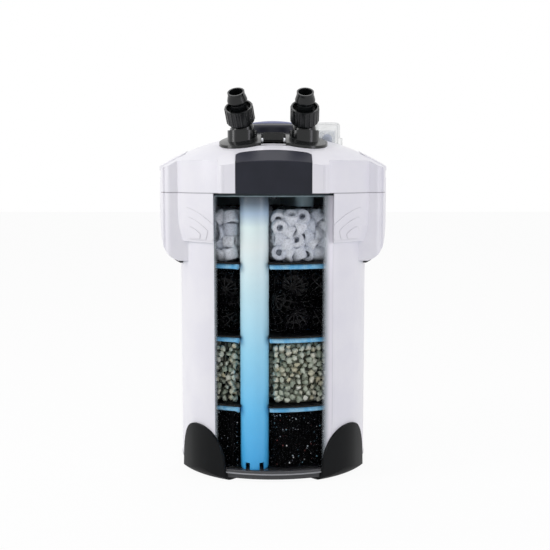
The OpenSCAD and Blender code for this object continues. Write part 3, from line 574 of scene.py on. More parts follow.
@dataclass(frozen=True)
class ClearPlastic(Finish):
    """Clear or tinted moulding that lets what is behind it show."""

    colour: Colour
    body: float = 0.1
    roughness: float = 0.08
    sheen: float = 0.55
    # colour of the painted sheen and edge shade on grazing edges
    rim: Colour = (0.6, 0.62, 0.62)

    def tone(self, g: Graph, place: Socket) -> tuple[Socket, Socket]:
        """Clouds the colour a little.

        Args:
            g: the material's graph.
            place: the point's place on the piece.

        Returns:
            The colour, and how much of it shows, from 0 to 1.
        """
        cloud = SHELF.mask(g, Effect.CLOUD, Place=place, Size=0.06)
        lighter = tuple(min(1.0, c * 1.06) for c in self.colour)
        return g.mix(cloud, self.colour, lighter), g.math("MULTIPLY_ADD", cloud, 0.1 * self.body, self.body)

    def dress(self, g: Graph, shader: Node, place: Socket) -> None:
        """Dresses the clear plastic.

        Args:
            g: the material's graph.
            shader: its Principled shader.
            place: the point's place on the piece.
        """
        colour, weight = self.tone(g, place)
        # painted sheen and edge shade: towards grazing edges the colour turns to the rim colour and the
        # plastic grows less clear
        facing = g.add("ShaderNodeLayerWeight", Blend=0.35).outputs["Facing"]
        edge = g.math("POWER", facing, 3.0)
        grain = SHELF.put(g, Effect.GRAIN, Place=place, Cell=0.002, Peel=0.02)
        rough = g.math("MULTIPLY_ADD", grain.outputs["Mask"], 0.03, self.roughness)
        g.fill(shader, Base_Color=g.mix(g.times(edge, 0.8 if self.sheen else 0.0), colour, self.rim),
               Alpha=g.math("MINIMUM", g.math("ADD", weight, g.times(edge, self.sheen)), 1.0),
               Normal=g.bump(grain.outputs["Height"], 0.00004), Roughness=rough)


@dataclass(frozen=True)
class WindowPlastic(ClearPlastic):
    """The long front window, frosted white along both upright edges."""

    frost: Colour = (0.8, 0.8, 0.86)
    clear_half: float = 0.0592
    edge_half: float = 0.0702
    middle: float = -0.0043

    def tone(self, g: Graph, place: Socket) -> tuple[Socket, Socket]:
        """Blends the clear middle into the frosted edges.

        Args:
            g: the material's graph.
            place: the point's place on the piece.

        Returns:
            The colour, and how much of it shows.
        """
        colour, weight = super().tone(g, place)
        across = g.math("ABSOLUTE", g.math("SUBTRACT", g.axes(place)[0], self.middle))
        frost = g.band(across, self.clear_half, self.edge_half)
        return g.mix(frost, colour, self.frost), g.math("MAXIMUM", weight, g.times(frost, 0.97))


@dataclass(frozen=True)
class PipePlastic(ClearPlastic):
    """Frosted downpipe that turns from grey-blue at its top to sky blue; the grey-blue top is painted shade
    under the head.
    """

    stops: tuple[tuple[float, Colour], ...] = ()
    low: float = 0.014
    high: float = 0.3295

    def tone(self, g: Graph, place: Socket) -> tuple[Socket, Socket]:
        """Picks the colour by height.

        Args:
            g: the material's graph.
            place: the point's place on the piece.

        Returns:
            The colour, and how much of it shows.
        """
        colour = g.ramp(g.band(g.axes(place)[2], self.low, self.high, smooth=False), self.stops)
        cloud = SHELF.mask(g, Effect.CLOUD, Place=place, Size=0.03)
        return colour, g.math("MULTIPLY_ADD", cloud, 0.03, self.body)


@dataclass(frozen=True)
class LooseMedia(Finish):
    """Grains that each take their own tone from the piece's tint attribute."""

    tones: tuple[Colour, ...]
    roughness: float = 0.7
    pit: float = 0.0008
    depth: float = 0.0003
    # colour of the painted shade in the grains' dents
    hollow_shade: Colour = (0.05, 0.05, 0.045)
    speck_share: float = 0.0
    speck_cell: float = 0.002
    specks: tuple[Colour, ...] = ()
    gloss: float = 0.5

    def dress(self, g: Graph, shader: Node, place: Socket) -> None:
        """Dresses the grains.

        Args:
            g: the material's graph.
            shader: its Principled shader.
            place: the point's place on the piece.
        """
        tint = g.add("ShaderNodeAttribute", {"attribute_name": "tint"}).outputs["Fac"]
        plain = g.ramp(tint, [(i / (len(self.tones) - 1), tone) for i, tone in enumerate(self.tones)])
        pits = g.noise(place, self.pit, Detail=4.0, Roughness=0.6)
        # painted shade: where the bump dips, the colour turns towards the dent shade colour
        colour = g.mix(0.3, plain, g.mix(g.band(pits, 0.62, 0.3), plain, self.hollow_shade))
        if self.specks:
            spot = SHELF.put(g, Effect.SPECKS, Place=place, Cell=self.speck_cell, Share=self.speck_share)
            stops = [(i / len(self.specks), tone) for i, tone in enumerate(self.specks)]
            colour = g.mix(spot.outputs["Mask"], colour, g.ramp(spot.outputs["Choice"], stops, constant=True))
        g.fill(shader, Base_Color=colour, Roughness=g.math("MULTIPLY_ADD", pits, 0.2, self.roughness - 0.1),
               Specular_IOR_Level=self.gloss, Normal=g.bump(pits, self.depth))


@dataclass(frozen=True)
class FilterSponge(Finish):
    """Open-cell foam with paler, washed-out patches, and painted shade in its open cells."""

    colour: Colour
    pale: Colour
    # colour of the painted shade in the foam's open cells
    pore_shade: Colour
    cell: float = 0.0011

    def dress(self, g: Graph, shader: Node, place: Socket) -> None:
        """Dresses the foam.

        Args:
            g: the material's graph.
            shader: its Principled shader.
            place: the point's place on the piece.
        """
        pores = SHELF.put(g, Effect.PORES, Place=place, Cell=self.cell)
        cloud = SHELF.mask(g, Effect.CLOUD, Place=place, Size=0.011)
        base = g.mix(g.times(cloud, 0.85), self.colour, self.pale)
        # painted shade: the open cells turn towards the darker blue
        hollow_shade = pores.outputs["Mask"]
        g.fill(shader, Base_Color=g.mix(g.times(hollow_shade, 0.35), base, self.pore_shade), Sheen_Weight=0.2,
               Roughness=g.math("MULTIPLY_ADD", hollow_shade, 0.1, 0.85),
               Normal=g.bump(pores.outputs["Height"], 0.0006, Strength=0.8))


# ------------------------------------------------------------- media shapes


@dataclass(frozen=True)
class BowedOutline:
    """The canister's plan: four bowed sides that run into round corners."""

    half: float
    body_half: float = 0.1135
    side_radius: float = 0.150
    corner_radius: float = 0.060

    @property
    def trim(self) -> float:
        """How far this outline lies inside the canister's outer face."""
        return self.body_half - self.half

    @property
    def offset(self) -> float:
        """From the middle to the centre of a side's big circle."""
        return self.side_radius - self.body_half

    @property
    def corner_at(self) -> float:
        """From the middle to a corner circle's centre, along X and along Y."""
        q, e = self.side_radius - self.corner_radius, self.offset
        return (-e + math.sqrt(2 * q * q - e * e)) / 2

    @property
    def tilt(self) -> float:
        """Angle from an axis at which a side's circle meets a corner's."""
        return math.atan2(self.corner_at, self.corner_at + self.offset)

    def loop(self, step: float) -> list[Vector]:
        """Points of the closed outline, anticlockwise from the front left.

        Args:
            step: distance between points.

        Returns:
            The points in order, at height 0.
        """
        big, small = self.side_radius - self.trim, self.corner_radius - self.trim
        points = []
        for quarter in range(4):
            turn = quarter * math.pi / 2
            side = max(2, round(2 * self.tilt * big / step))
            corner = max(2, round((math.pi / 2 - 2 * self.tilt) * small / step))
            arcs = [((0, self.offset), big, -math.pi / 2 - self.tilt, -math.pi / 2 + self.tilt, side),
                    ((self.corner_at, -self.corner_at), small, -math.pi / 2 + self.tilt, -self.tilt, corner)]
            for (cx, cy), radius, start, end, count in arcs:
                for k in range(count):
                    a = start + (end - start) * k / count
                    x, y = cx + radius * math.cos(a), cy + radius * math.sin(a)
                    points.append(Vector((x * math.cos(turn) - y * math.sin(turn),
                                          x * math.sin(turn) + y * math.cos(turn), 0)))
        return points

    def confine(self, points: np.ndarray, margin: float) -> np.ndarray:
        """Moves points that lie outside the outline back inside it.

        Args:
            points: array of x, y, z rows.
            margin: distance that they keep from the outline.

        Returns:
            The moved points.
        """
        big, small = self.side_radius - self.trim - margin, self.corner_radius - self.trim - margin
        signs = np.where(points[:, :2] < 0, -1.0, 1.0)
        folded = np.abs(points[:, :2])
        from_corner = folded - self.corner_at
        lean = np.arctan2(from_corner[:, 0], from_corner[:, 1])
        in_corner = ((from_corner.min(1) > -self.corner_at)
                     & (lean > self.tilt) & (lean < math.pi / 2 - self.tilt))
        reach = np.linalg.norm(from_corner, axis=1)
        pull = np.minimum(1.0, small / np.maximum(reach, 1e-9))[:, None]
        folded = np.where(in_corner[:, None], self.corner_at + from_corner * pull, folded)
        for axis in (0, 1):
            centre = np.zeros(2)
            centre[axis] = -self.offset
            arm = folded - centre
            shrink = np.minimum(1.0, big / np.linalg.norm(arm, axis=1))[:, None]
            side = (folded[:, axis] > folded[:, 1 - axis]) & ~in_corner
            folded = np.where(side[:, None], centre + arm * shrink, folded)
        points[:, :2] = folded * signs
        return points


@dataclass(frozen=True)
class PipeClearance:
    """The upright way that every bed and pad leaves for the downpipe, open to the front."""

    x: float = -0.022
    y: float = -0.0904
    radius: float = 0.0174

    def avoid(self, points: np.ndarray, margin: float) -> np.ndarray:
        """Moves points out of the way: outwards behind the axis, sideways in front of it.

        Args:
            points: array of x, y, z rows.
            margin: distance that they keep from the way's wall.

        Returns:
            The moved points.
        """
        keep = self.radius + margin
        arm = points[:, :2] - np.array([self.x, self.y])
        reach = np.maximum(np.linalg.norm(arm, axis=1), 1e-6)
        in_front = arm[:, 1] < 0
        grow = np.where(in_front, 1.0, np.maximum(1.0, keep / reach))[:, None]
        aside = np.where(arm[:, 0] < 0, -1.0, 1.0) * np.maximum(np.abs(arm[:, 0]), keep)
        arm = arm * grow
        arm[:, 0] = np.where(in_front, aside, arm[:, 0])
        points[:, :2] = np.array([self.x, self.y]) + arm
        return points

    def bypass(self, keep: float, front: float, step: float) -> list[Vector]:
        """Path from the front, up one side of the pipe, round behind it and down the other.

        Args:
            keep: distance from the pipe's axis.
            front: y of both ends.
            step: distance between points.

        Returns:
            The path's points, from the left end to the right end.
        """
        tilt = math.asin(min(1.0, max(0.0, front - self.y) / keep))
        legs = 4 if front < self.y else 0
        turns = max(10, round(math.pi * self.radius / step))
        left = [Vector((self.x - keep, front + (self.y - front) * k / legs, 0)) for k in range(legs)]
        turn = [tilt + (math.pi - 2 * tilt) * k / turns for k in range(turns + 1)]
        bow = [Vector((self.x - keep * math.cos(t), self.y + keep * math.sin(t), 0)) for t in turn]
        right = [Vector((self.x + keep, p.y, 0)) for p in reversed(left)]
        return left + bow + right


PIPE = PipeClearance()
BED_HALF = 0.1048
ANY_WAY = (3.14, 3.14, 6.28)
PINCH_SHARE, PINCH = 0.35, 0.0012
RIM_SHARE, RIM_ROWS = 0.45, 0.75
SHAKES, LAST_FALL = 170, 120
PUSH_APART, FALL = 0.42, 0.0006


def settle(count: int, radius: float, margin: float, low: float, high: float, seed: int) -> np.ndarray:
    """Packs balls in a bed, as if shaken down into it.

    Args:
        count: number of balls.
        radius: half of the least distance between two of them.
        margin: distance that their centres keep from walls.
        low: the bed's floor.
        high: the bed's top.
        seed: fixes the starting places.

    Returns:
        One x, y, z row for each ball's centre.
    """
    rng = np.random.default_rng(seed)
    spread = BED_HALF - margin
    points = np.column_stack([rng.uniform(-spread, spread, count), rng.uniform(-spread, spread, count),
                              rng.uniform(low + margin, high - margin, count)])
    outline = BowedOutline(BED_HALF)
    for turn in range(SHAKES):
        arm = points[:, None] - points[None]
        reach = np.linalg.norm(arm, axis=2) + np.eye(count)
        short = np.clip(2 * radius - reach, 0, None) * (1 - np.eye(count))
        points += PUSH_APART * (arm / reach[..., None] * short[..., None]).sum(1)
        points[:, 2] -= FALL * max(0.0, 1 - turn / LAST_FALL)
        points = PIPE.avoid(outline.confine(points, margin), margin)
        points[:, 2] = np.clip(points[:, 2], low + margin, high - margin)
    return points


def put_in_scene(name: str, data: bpy.types.ID) -> Piece:
    """Makes an object and links it to the scene.

    Args:
        name: the object's name.
        data: its mesh, camera or lamp.

    Returns:
        The new object.
    """
    made = bpy.data.objects.new(name, data)
    bpy.context.scene.collection.objects.link(made)
    return made


def mesh_object(name: str, verts: list, faces: list, smooth: bool = False) -> Piece:
    """Makes a mesh object in the scene.

    Args:
        name: the piece's name.
        verts: points in metres.
        faces: tuples of point numbers.
        smooth: True for smooth shading.

    Returns:
        The new object.
    """
    mesh = bpy.data.meshes.new(name)
    mesh.from_pydata([tuple(v) for v in verts], [], faces)
    mesh.update()
    for polygon in mesh.polygons:
        polygon.use_smooth = smooth
    return put_in_scene(name, mesh)


class FieldKit:
    """Builds one geometry node tree and turns it into a plain mesh."""

    def __init__(self, name: str, inputs: dict) -> None:
        """Makes the tree with a geometry, a seed, a material and the given numbers.

        Args:
            name: the tree's name.
            inputs: default value by input name.
        """
        self.tree = bpy.data.node_groups.new(name, "GeometryNodeTree")
        self.graph = Graph(self.tree)
        self.tree.interface.new_socket("Geometry", in_out="INPUT", socket_type="NodeSocketGeometry")
        self.ids = {}
        kinds = {float: "NodeSocketFloat", int: "NodeSocketInt", type(None): "NodeSocketMaterial"}
        for key, value in {**inputs, "Seed": 1, "Material": None}.items():
            socket = self.tree.interface.new_socket(key, in_out="INPUT", socket_type=kinds[type(value)])
            if value is not None:
                socket.default_value = value
            self.ids[key] = socket.identifier
        self.tree.interface.new_socket("Geometry", in_out="OUTPUT", socket_type="NodeSocketGeometry")
        self.start = self.tree.nodes.new("NodeGroupInput")
        self.end = self.tree.nodes.new("NodeGroupOutput")

    def random(self, kind: str, later: int = 0, **limits: Value) -> Socket:
        """Adds a random value and returns it.

        Args:
            kind: the value's data type.
            later: what is added to the tree's seed.
            **limits: Min and Max, where they aren't the node's own.

        Returns:
            The value, one for each point.
        """
        seed = self.start.outputs["Seed"]
        seed = self.graph.math("ADD", seed, later) if later else seed
        node = self.graph.add("FunctionNodeRandomValue", {"data_type": kind}, Seed=seed, **limits)
        return next(s for s in node.outputs if s.enabled)

    def join(self, pieces: list[Socket]) -> Socket:
        """Joins several geometries.

        Args:
            pieces: the geometries.

        Returns:
            All of them as one.
        """
        node = self.graph.add("GeometryNodeJoinGeometry")
        for piece in pieces:
            self.tree.links.new(piece, node.inputs[0])
        return node.outputs[0]

    def close(self, points: Socket, shape: Socket, turn: Socket, **more: Value) -> None:
        """Ends the tree: a tinted shape on each point, as real geometry with its material.

        Args:
            points: where the shapes go.
            shape: what goes there.
            turn: each one's rotation.
            **more: other inputs of the node that places them.
        """
        g = self.graph
        placed = g.add("GeometryNodeInstanceOnPoints", Points=points, Instance=shape, Rotation=turn, **more)
        kept = g.add("GeometryNodeStoreNamedAttribute", {"data_type": "FLOAT", "domain": "INSTANCE"},
                     Geometry=placed, Name="tint", Value=self.random("FLOAT", 4))
        real = g.add("GeometryNodeRealizeInstances", Geometry=kept)
        dressed = g.add("GeometryNodeSetMaterial", Geometry=real,
                        Material=self.start.outputs["Material"])
        g.feed(self.end, "Geometry", dressed.outputs[0])

    def grow(self, base: Piece, name: str, values: dict) -> Piece:
        """Runs the tree on a base object and keeps the result only.

        Args:
            base: object whose mesh goes in; it is removed.
            name: the finished piece's name.
            values: input values by name.

        Returns:
            The piece, a plain mesh with its place in it.
        """
        modifier = base.modifiers.new("fields", "NODES")
        modifier.node_group = self.tree
        for key, value in values.items():
            modifier[self.ids[key]] = value
        bpy.context.view_layer.update()
        graph = bpy.context.evaluated_depsgraph_get()
        mesh = bpy.data.meshes.new_from_object(base.evaluated_get(graph), depsgraph=graph)
        mesh.name = name
        bpy.data.objects.remove(base)
        return put_in_scene(name, mesh)


class GrainTree(FieldKit):
    """Scatters uneven grains over a skin, a few deep."""

    def __init__(self) -> None:
        """Builds the tree."""
        super().__init__("loose grains", {
            "Grain": 0.006, "Spacing": 0.005, "Sink": 0.001, "Unevenness": 0.5, "Round": 2})
        g, take = self.graph, self.start.outputs
        dots = g.add("GeometryNodeDistributePointsOnFaces", {"distribute_method": "POISSON"},
                     Mesh=take["Geometry"], Distance_Min=take["Spacing"], Density_Max=4.0e5,
                     Seed=take["Seed"])
        depth = self.random("FLOAT", Min=0.0, Max=take["Sink"])
        sink = g.vector("SCALE", dots.outputs["Normal"], g.times(depth, -1.0))
        sunk = g.add("GeometryNodeSetPosition", Geometry=dots.outputs["Points"], Offset=sink)
        kinds = self.join([self.kind(k) for k in range(5)])
        self.close(sunk.outputs[0], kinds, self.random("FLOAT_VECTOR", 2, Max=(6.28, 6.28, 6.28)),
                   Pick_Instance=True, Instance_Index=self.random("INT", 1, Max=4),
                   Scale=self.random("FLOAT", 3, Min=0.72, Max=1.06))

    def kind(self, k: int) -> Socket:
        """Makes one of the grain shapes.

        Args:
            k: the shape's number; it sets the dents and the flatness.

        Returns:
            The shape, as an instance.
        """
        g, take = self.graph, self.start.outputs
        ball = g.add("GeometryNodeMeshIcoSphere", Radius=g.times(take["Grain"], 0.5),
                     Subdivisions=take["Round"])
        at = g.add("GeometryNodeInputPosition").outputs[0]
        noise = g.add("ShaderNodeTexNoise", {"noise_dimensions": "4D"}, Vector=g.vector("NORMALIZE", at),
                      W=3.7 * k + 1.3, Scale=1.25, Detail=1.0)
        dent = g.times(g.math("SUBTRACT", noise.outputs[0], 0.62), take["Unevenness"])
        push = g.vector("SCALE", at, g.times(dent, 2.2))
        bent = g.add("GeometryNodeSetPosition", Geometry=ball, Offset=push)
        flat = g.add("GeometryNodeTransform", Geometry=bent,
                     Scale=(1.0, 0.96 - 0.07 * k, 0.74 + 0.05 * k))
        return g.add("GeometryNodeGeometryToInstance", Geometry=flat).outputs[0]


class RingTree(FieldKit):
    """Drops short thick tubes on points, each turned its own way."""

    def __init__(self) -> None:
        """Builds the tree."""
        super().__init__("tube pile", {"Outer": 0.0085, "Wall": 0.0036, "Length": 0.013, "Sides": 18})
        g, take = self.graph, self.start.outputs
        middle = g.math("SUBTRACT", take["Outer"], g.times(take["Wall"], 0.5))
        path = g.add("GeometryNodeCurvePrimitiveCircle", Resolution=take["Sides"], Radius=middle)
        section = g.add("GeometryNodeCurvePrimitiveQuadrilateral", Width=take["Wall"], Height=take["Length"])
        soft = g.add("GeometryNodeFilletCurve", {"mode": "POLY"}, Curve=section,
                     Radius=g.times(take["Wall"], 0.28), Count=2)
        tube = g.add("GeometryNodeCurveToMesh", Curve=path, Profile_Curve=soft)
        self.close(take["Geometry"], tube.outputs[0], self.random("FLOAT_VECTOR", Max=ANY_WAY))


class FinnedBallTree(FieldKit):
    """Drops finned balls on points: upright fins crossed by level plates."""

    def __init__(self) -> None:
        """Builds the tree."""
        super().__init__("finned balls", {"Radius": 0.0165, "Fin": 0.001, "Fins": 6})
        g, take = self.graph, self.start.outputs
        upright = g.add("GeometryNodeTransform", Geometry=self.plate(1.0, 22), Rotation=(math.pi / 2, 0, 0))
        row = g.add("GeometryNodeMeshLine", Count=take["Fins"], Offset=(0, 0, 0))
        index = g.add("GeometryNodeInputIndex").outputs[0]
        turn = g.add("ShaderNodeCombineXYZ", Z=g.times(index, g.math("DIVIDE", math.pi, take["Fins"])))
        fins = g.add("GeometryNodeInstanceOnPoints", Points=row, Instance=upright,
                     Rotation=turn)
        pieces = [fins.outputs[0]]
        for level in (-0.62, -0.22, 0.22, 0.62):
            lift = g.add("ShaderNodeCombineXYZ", Z=g.times(take["Radius"], level))
            plate = self.plate(math.sqrt(1 - level * level) * 0.97, 16)
            disc = g.add("GeometryNodeTransform", Geometry=plate, Translation=lift)
            pieces.append(disc.outputs[0])
        real = g.add("GeometryNodeRealizeInstances", Geometry=self.join(pieces))
        whole = g.add("GeometryNodeGeometryToInstance", Geometry=real)
        self.close(take["Geometry"], whole.outputs[0], self.random("FLOAT_VECTOR", Max=ANY_WAY))

    def plate(self, share: float, sides: int) -> Socket:
        """Makes a thin round plate.

        Args:
            share: its radius over the ball's.
            sides: points round it.

        Returns:
            The plate's geometry, level and centred.
        """
        g, take = self.graph, self.start.outputs
        radius = g.times(take["Radius"], share)
        return g.add("GeometryNodeMeshCylinder", {"fill_type": "NGON"}, Vertices=sides, Radius=radius,
                     Depth=take["Fin"]).outputs["Mesh"]


@dataclass
class MediaBed:
    """One basket's loose filling: a dark core behind a skin of grains.

    Spacing, sheets, under, over, sink and core_inset are counted in grains.
    """

    name: str
    grain: float
    finish: LooseMedia
    core: MouldedPlastic
    seed: int
    unevenness: float = 0.5
    round_level: int = 2
    smooth: bool = True
    spacing: float = 0.8
    front_half: float = 0.070
    front_y: float = -0.06
    sheets: tuple[float, float] = (0.62, 1.45)
    sheet_step: float = 0.004
    row_height: float = 0.006
    under: float = 0.33
    over: float = 0.42
    sink: float = 0.3
    core_inset: float = 1.7

    def __post_init__(self) -> None:
        """Looks up the height that the filling takes in its basket."""
        self.low, self.high = span(self.name + "_media")

    def front_path(self, inset: float, step: float) -> list[Vector]:
        """Plan of the bed's open front, moved in, with the downpipe's way.

        Args:
            inset: distance that it lies inside the bed.
            step: distance between points.

        Returns:
            Points from left to right.
        """
        keep = PIPE.radius + inset
        points = [p for p in BowedOutline(BED_HALF - inset).loop(step)
                  if p.y < self.front_y and abs(p.x) < self.front_half and abs(p.x - PIPE.x) > keep]
        points.sort(key=lambda p: p.x)
        left = [p for p in points if p.x < PIPE.x]
        right = [p for p in points if p.x > PIPE.x]
        return left + PIPE.bypass(keep, left[-1].y, step) + right

    def skin(self) -> Piece:
        """Makes two upright sheets, one behind the other.

        Returns:
            The mesh that the grains are scattered on.
        """
        verts, faces = [], []
        for sheet in self.sheets:
            path = self.front_path(sheet * self.grain, self.sheet_step)
            rows = max(2, int((self.high - self.low) / self.row_height))
            low, high = self.low + self.under * self.grain, self.high - self.over * self.grain
            first = len(verts)
            for r in range(rows + 1):
                verts += [(p.x, p.y, low + (high - low) * r / rows) for p in path]
            n = len(path)
            corners_at = [first + r * n + k for r in range(rows) for k in range(n - 1)]
            faces += [(a, a + 1, a + n + 1, a + n) for a in corners_at]
        return mesh_object(self.name + "_skin", verts, faces)

    def fill(self, tree: GrainTree) -> None:
        """Builds the grains, and the core behind them.

        Args:
            tree: the grain tree.
        """
        grains = tree.grow(self.skin(), self.name + "_grains", {
            "Grain": self.grain, "Spacing": self.spacing * self.grain, "Sink": self.sink * self.grain,
            "Unevenness": self.unevenness, "Round": self.round_level, "Seed": self.seed,
            "Material": self.finish.build()})
        for polygon in grains.data.polygons:
            polygon.use_smooth = self.smooth
        inset = self.core_inset * self.grain
        core = slab(self.name + "_core", BED_HALF - inset, PIPE.radius + inset,
                    self.low, self.high - 0.0001, crown=0.0)
        core.data.materials.append(self.core.build())
        for piece in (grains, core):
            hand_over(piece, self.name + "_media", self.name + "_stack")


def slab(name: str, half: float, hole: float, low: float, high: float, crown: float, grid: float = 0.009,
         seed: int = 5) -> Piece:
    """Makes a bowed slab that is notched round the downpipe.

    Args:
        name: the piece's name.
        half: half of its width.
        hole: radius of the notch.
        low: its underside.
        high: its top.
        crown: how far its rims pull in and its faces rise and fall.
        grid: distance between the points inside its faces.
        seed: fixes the unevenness.

    Returns:
        The slab, smooth where it has a crown.
    """
    step = grid * (RIM_SHARE if crown else 1.0)
    rim = notched_rim(half, hole, step)
    pinch = PINCH_SHARE * crown
    inner = notched_rim(half - pinch - PINCH, hole + pinch + PINCH, step) if crown else rim
    marks = np.arange(-half + grid, half, grid)
    spots = [Vector((x, y, 0)) for x in marks for y in marks]
    spots = [p for p in spots if inside(inner, p, 0.35 * grid)]
    face_points = [p.to_2d() for p in inner] + [p.to_2d() for p in spots]
    count = len(inner)
    points, _, tris, _, _, _ = delaunay_2d_cdt(face_points, [], [list(range(count))], 1, 1e-7)
    rng = np.random.default_rng(seed)
    phase = rng.uniform(0, 6.28, 6)

    def wave(x: float, y: float) -> float:
        """Slow rise and fall over the slab.

        Args:
            x: the place along X.
            y: the place along Y.

        Returns:
            The height, from -1 to 1.
        """
        return (math.sin(x * 61 + phase[0]) * math.sin(y * 53 + phase[1])
                + 0.6 * math.sin(x * 131 + y * 97 + phase[2])
                + 0.4 * math.sin(y * 211 - x * 83 + phase[3])) / 2

    verts, faces = [], []
    for z, way in ((low, 1), (high, -1)):
        first = len(verts)
        verts += [(p.x, p.y, z + way * crown * (0.18 + 0.16 * wave(p.x, p.y))) for p in points]
        faces += [tuple(first + k for k in (reversed(t) if way > 0 else t)) for t in tris]
    rim_rows = [low + crown * RIM_ROWS, (low + high) / 2, high - crown * RIM_ROWS] if crown else []
    rows = [list(range(count))]
    for z in rim_rows:
        first = len(verts)
        verts += [(p.x, p.y, z) for p in rim]
        rows.append(list(range(first, first + count)))
    rows.append([len(points) + k for k in range(count)])
    for a, b in zip(rows, rows[1:]):
        faces += [(a[k], a[(k + 1) % count], b[(k + 1) % count], b[k]) for k in range(count)]
    return mesh_object(name, verts, faces, smooth=bool(crown))


def notched_rim(half: float, hole: float, step: float) -> list[Vector]:
    """Outline of a bed or pad, with the downpipe's notch in its front.

    Args:
        half: half of the width.
        hole: radius of the notch round the downpipe's axis.
        step: distance between points.

    Returns:
        The closed outline's points, anticlockwise; their number depends on the step alone.
    """
    loop = BowedOutline(half).loop(step / 2)
    axis = Vector((PIPE.x, PIPE.y, 0))
    clear = [(p - axis).length > hole and (p.y > PIPE.y or abs(p.x - PIPE.x) > hole) for p in loop]
    start = next(k for k in range(len(loop)) if not clear[k - 1] and clear[k])
    run = [loop[(start + k) % len(loop)] for k in range(len(loop)) if clear[(start + k) % len(loop)]]
    flat = np.array([(p.x, p.y) for p in run])
    along = np.concatenate([[0], np.cumsum(np.linalg.norm(np.diff(flat, axis=0), axis=1))])
    marks = np.linspace(0, along[-1], round(8 * BED_HALF / step))[1:-1]
    even = [Vector((np.interp(m, along, flat[:, 0]), np.interp(m, along, flat[:, 1]), 0)) for m in marks]
    return even + PIPE.bypass(hole, run[0].y, 0.003)


def inside(loop: list[Vector], point: Vector, margin: float) -> bool:
    """Tells whether a point lies inside a closed outline, clear of its rim.

    Args:
        loop: the outline's points.
        point: the point.
        margin: its least distance from the rim.

    Returns:
        True where it does.
    """
    ring = np.array([(p.x, p.y) for p in loop])
    if np.hypot(*(ring - np.array([point.x, point.y])).T).min() < margin:
        return False
    x0, y0 = ring.T
    x1, y1 = np.roll(ring, -1, 0).T
    cross = ((y0 > point.y) != (y1 > point.y)) & (
        point.x < (x1 - x0) * (point.y - y0) / np.where(y1 == y0, 1e-12, y1 - y0) + x0)
    return bool(cross.sum() % 2)


def hand_over(piece: Piece, node: str, body: str) -> None:
    """Gives a piece to the basket that carries it, in place of a plain solid.

    Args:
        piece: the finished filling or pad.
        node: the solid that it replaces.
        body: the moving body that it rides.
    """
    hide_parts(node)
    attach(piece, body)
    LOG.info("%s: %d faces", piece.name, len(piece.data.polygons))


def span(node: str) -> tuple[float, float]:
    """Lowest and highest point of a fixed part, at rest."""
    low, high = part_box(node)
    return low.z, high.z


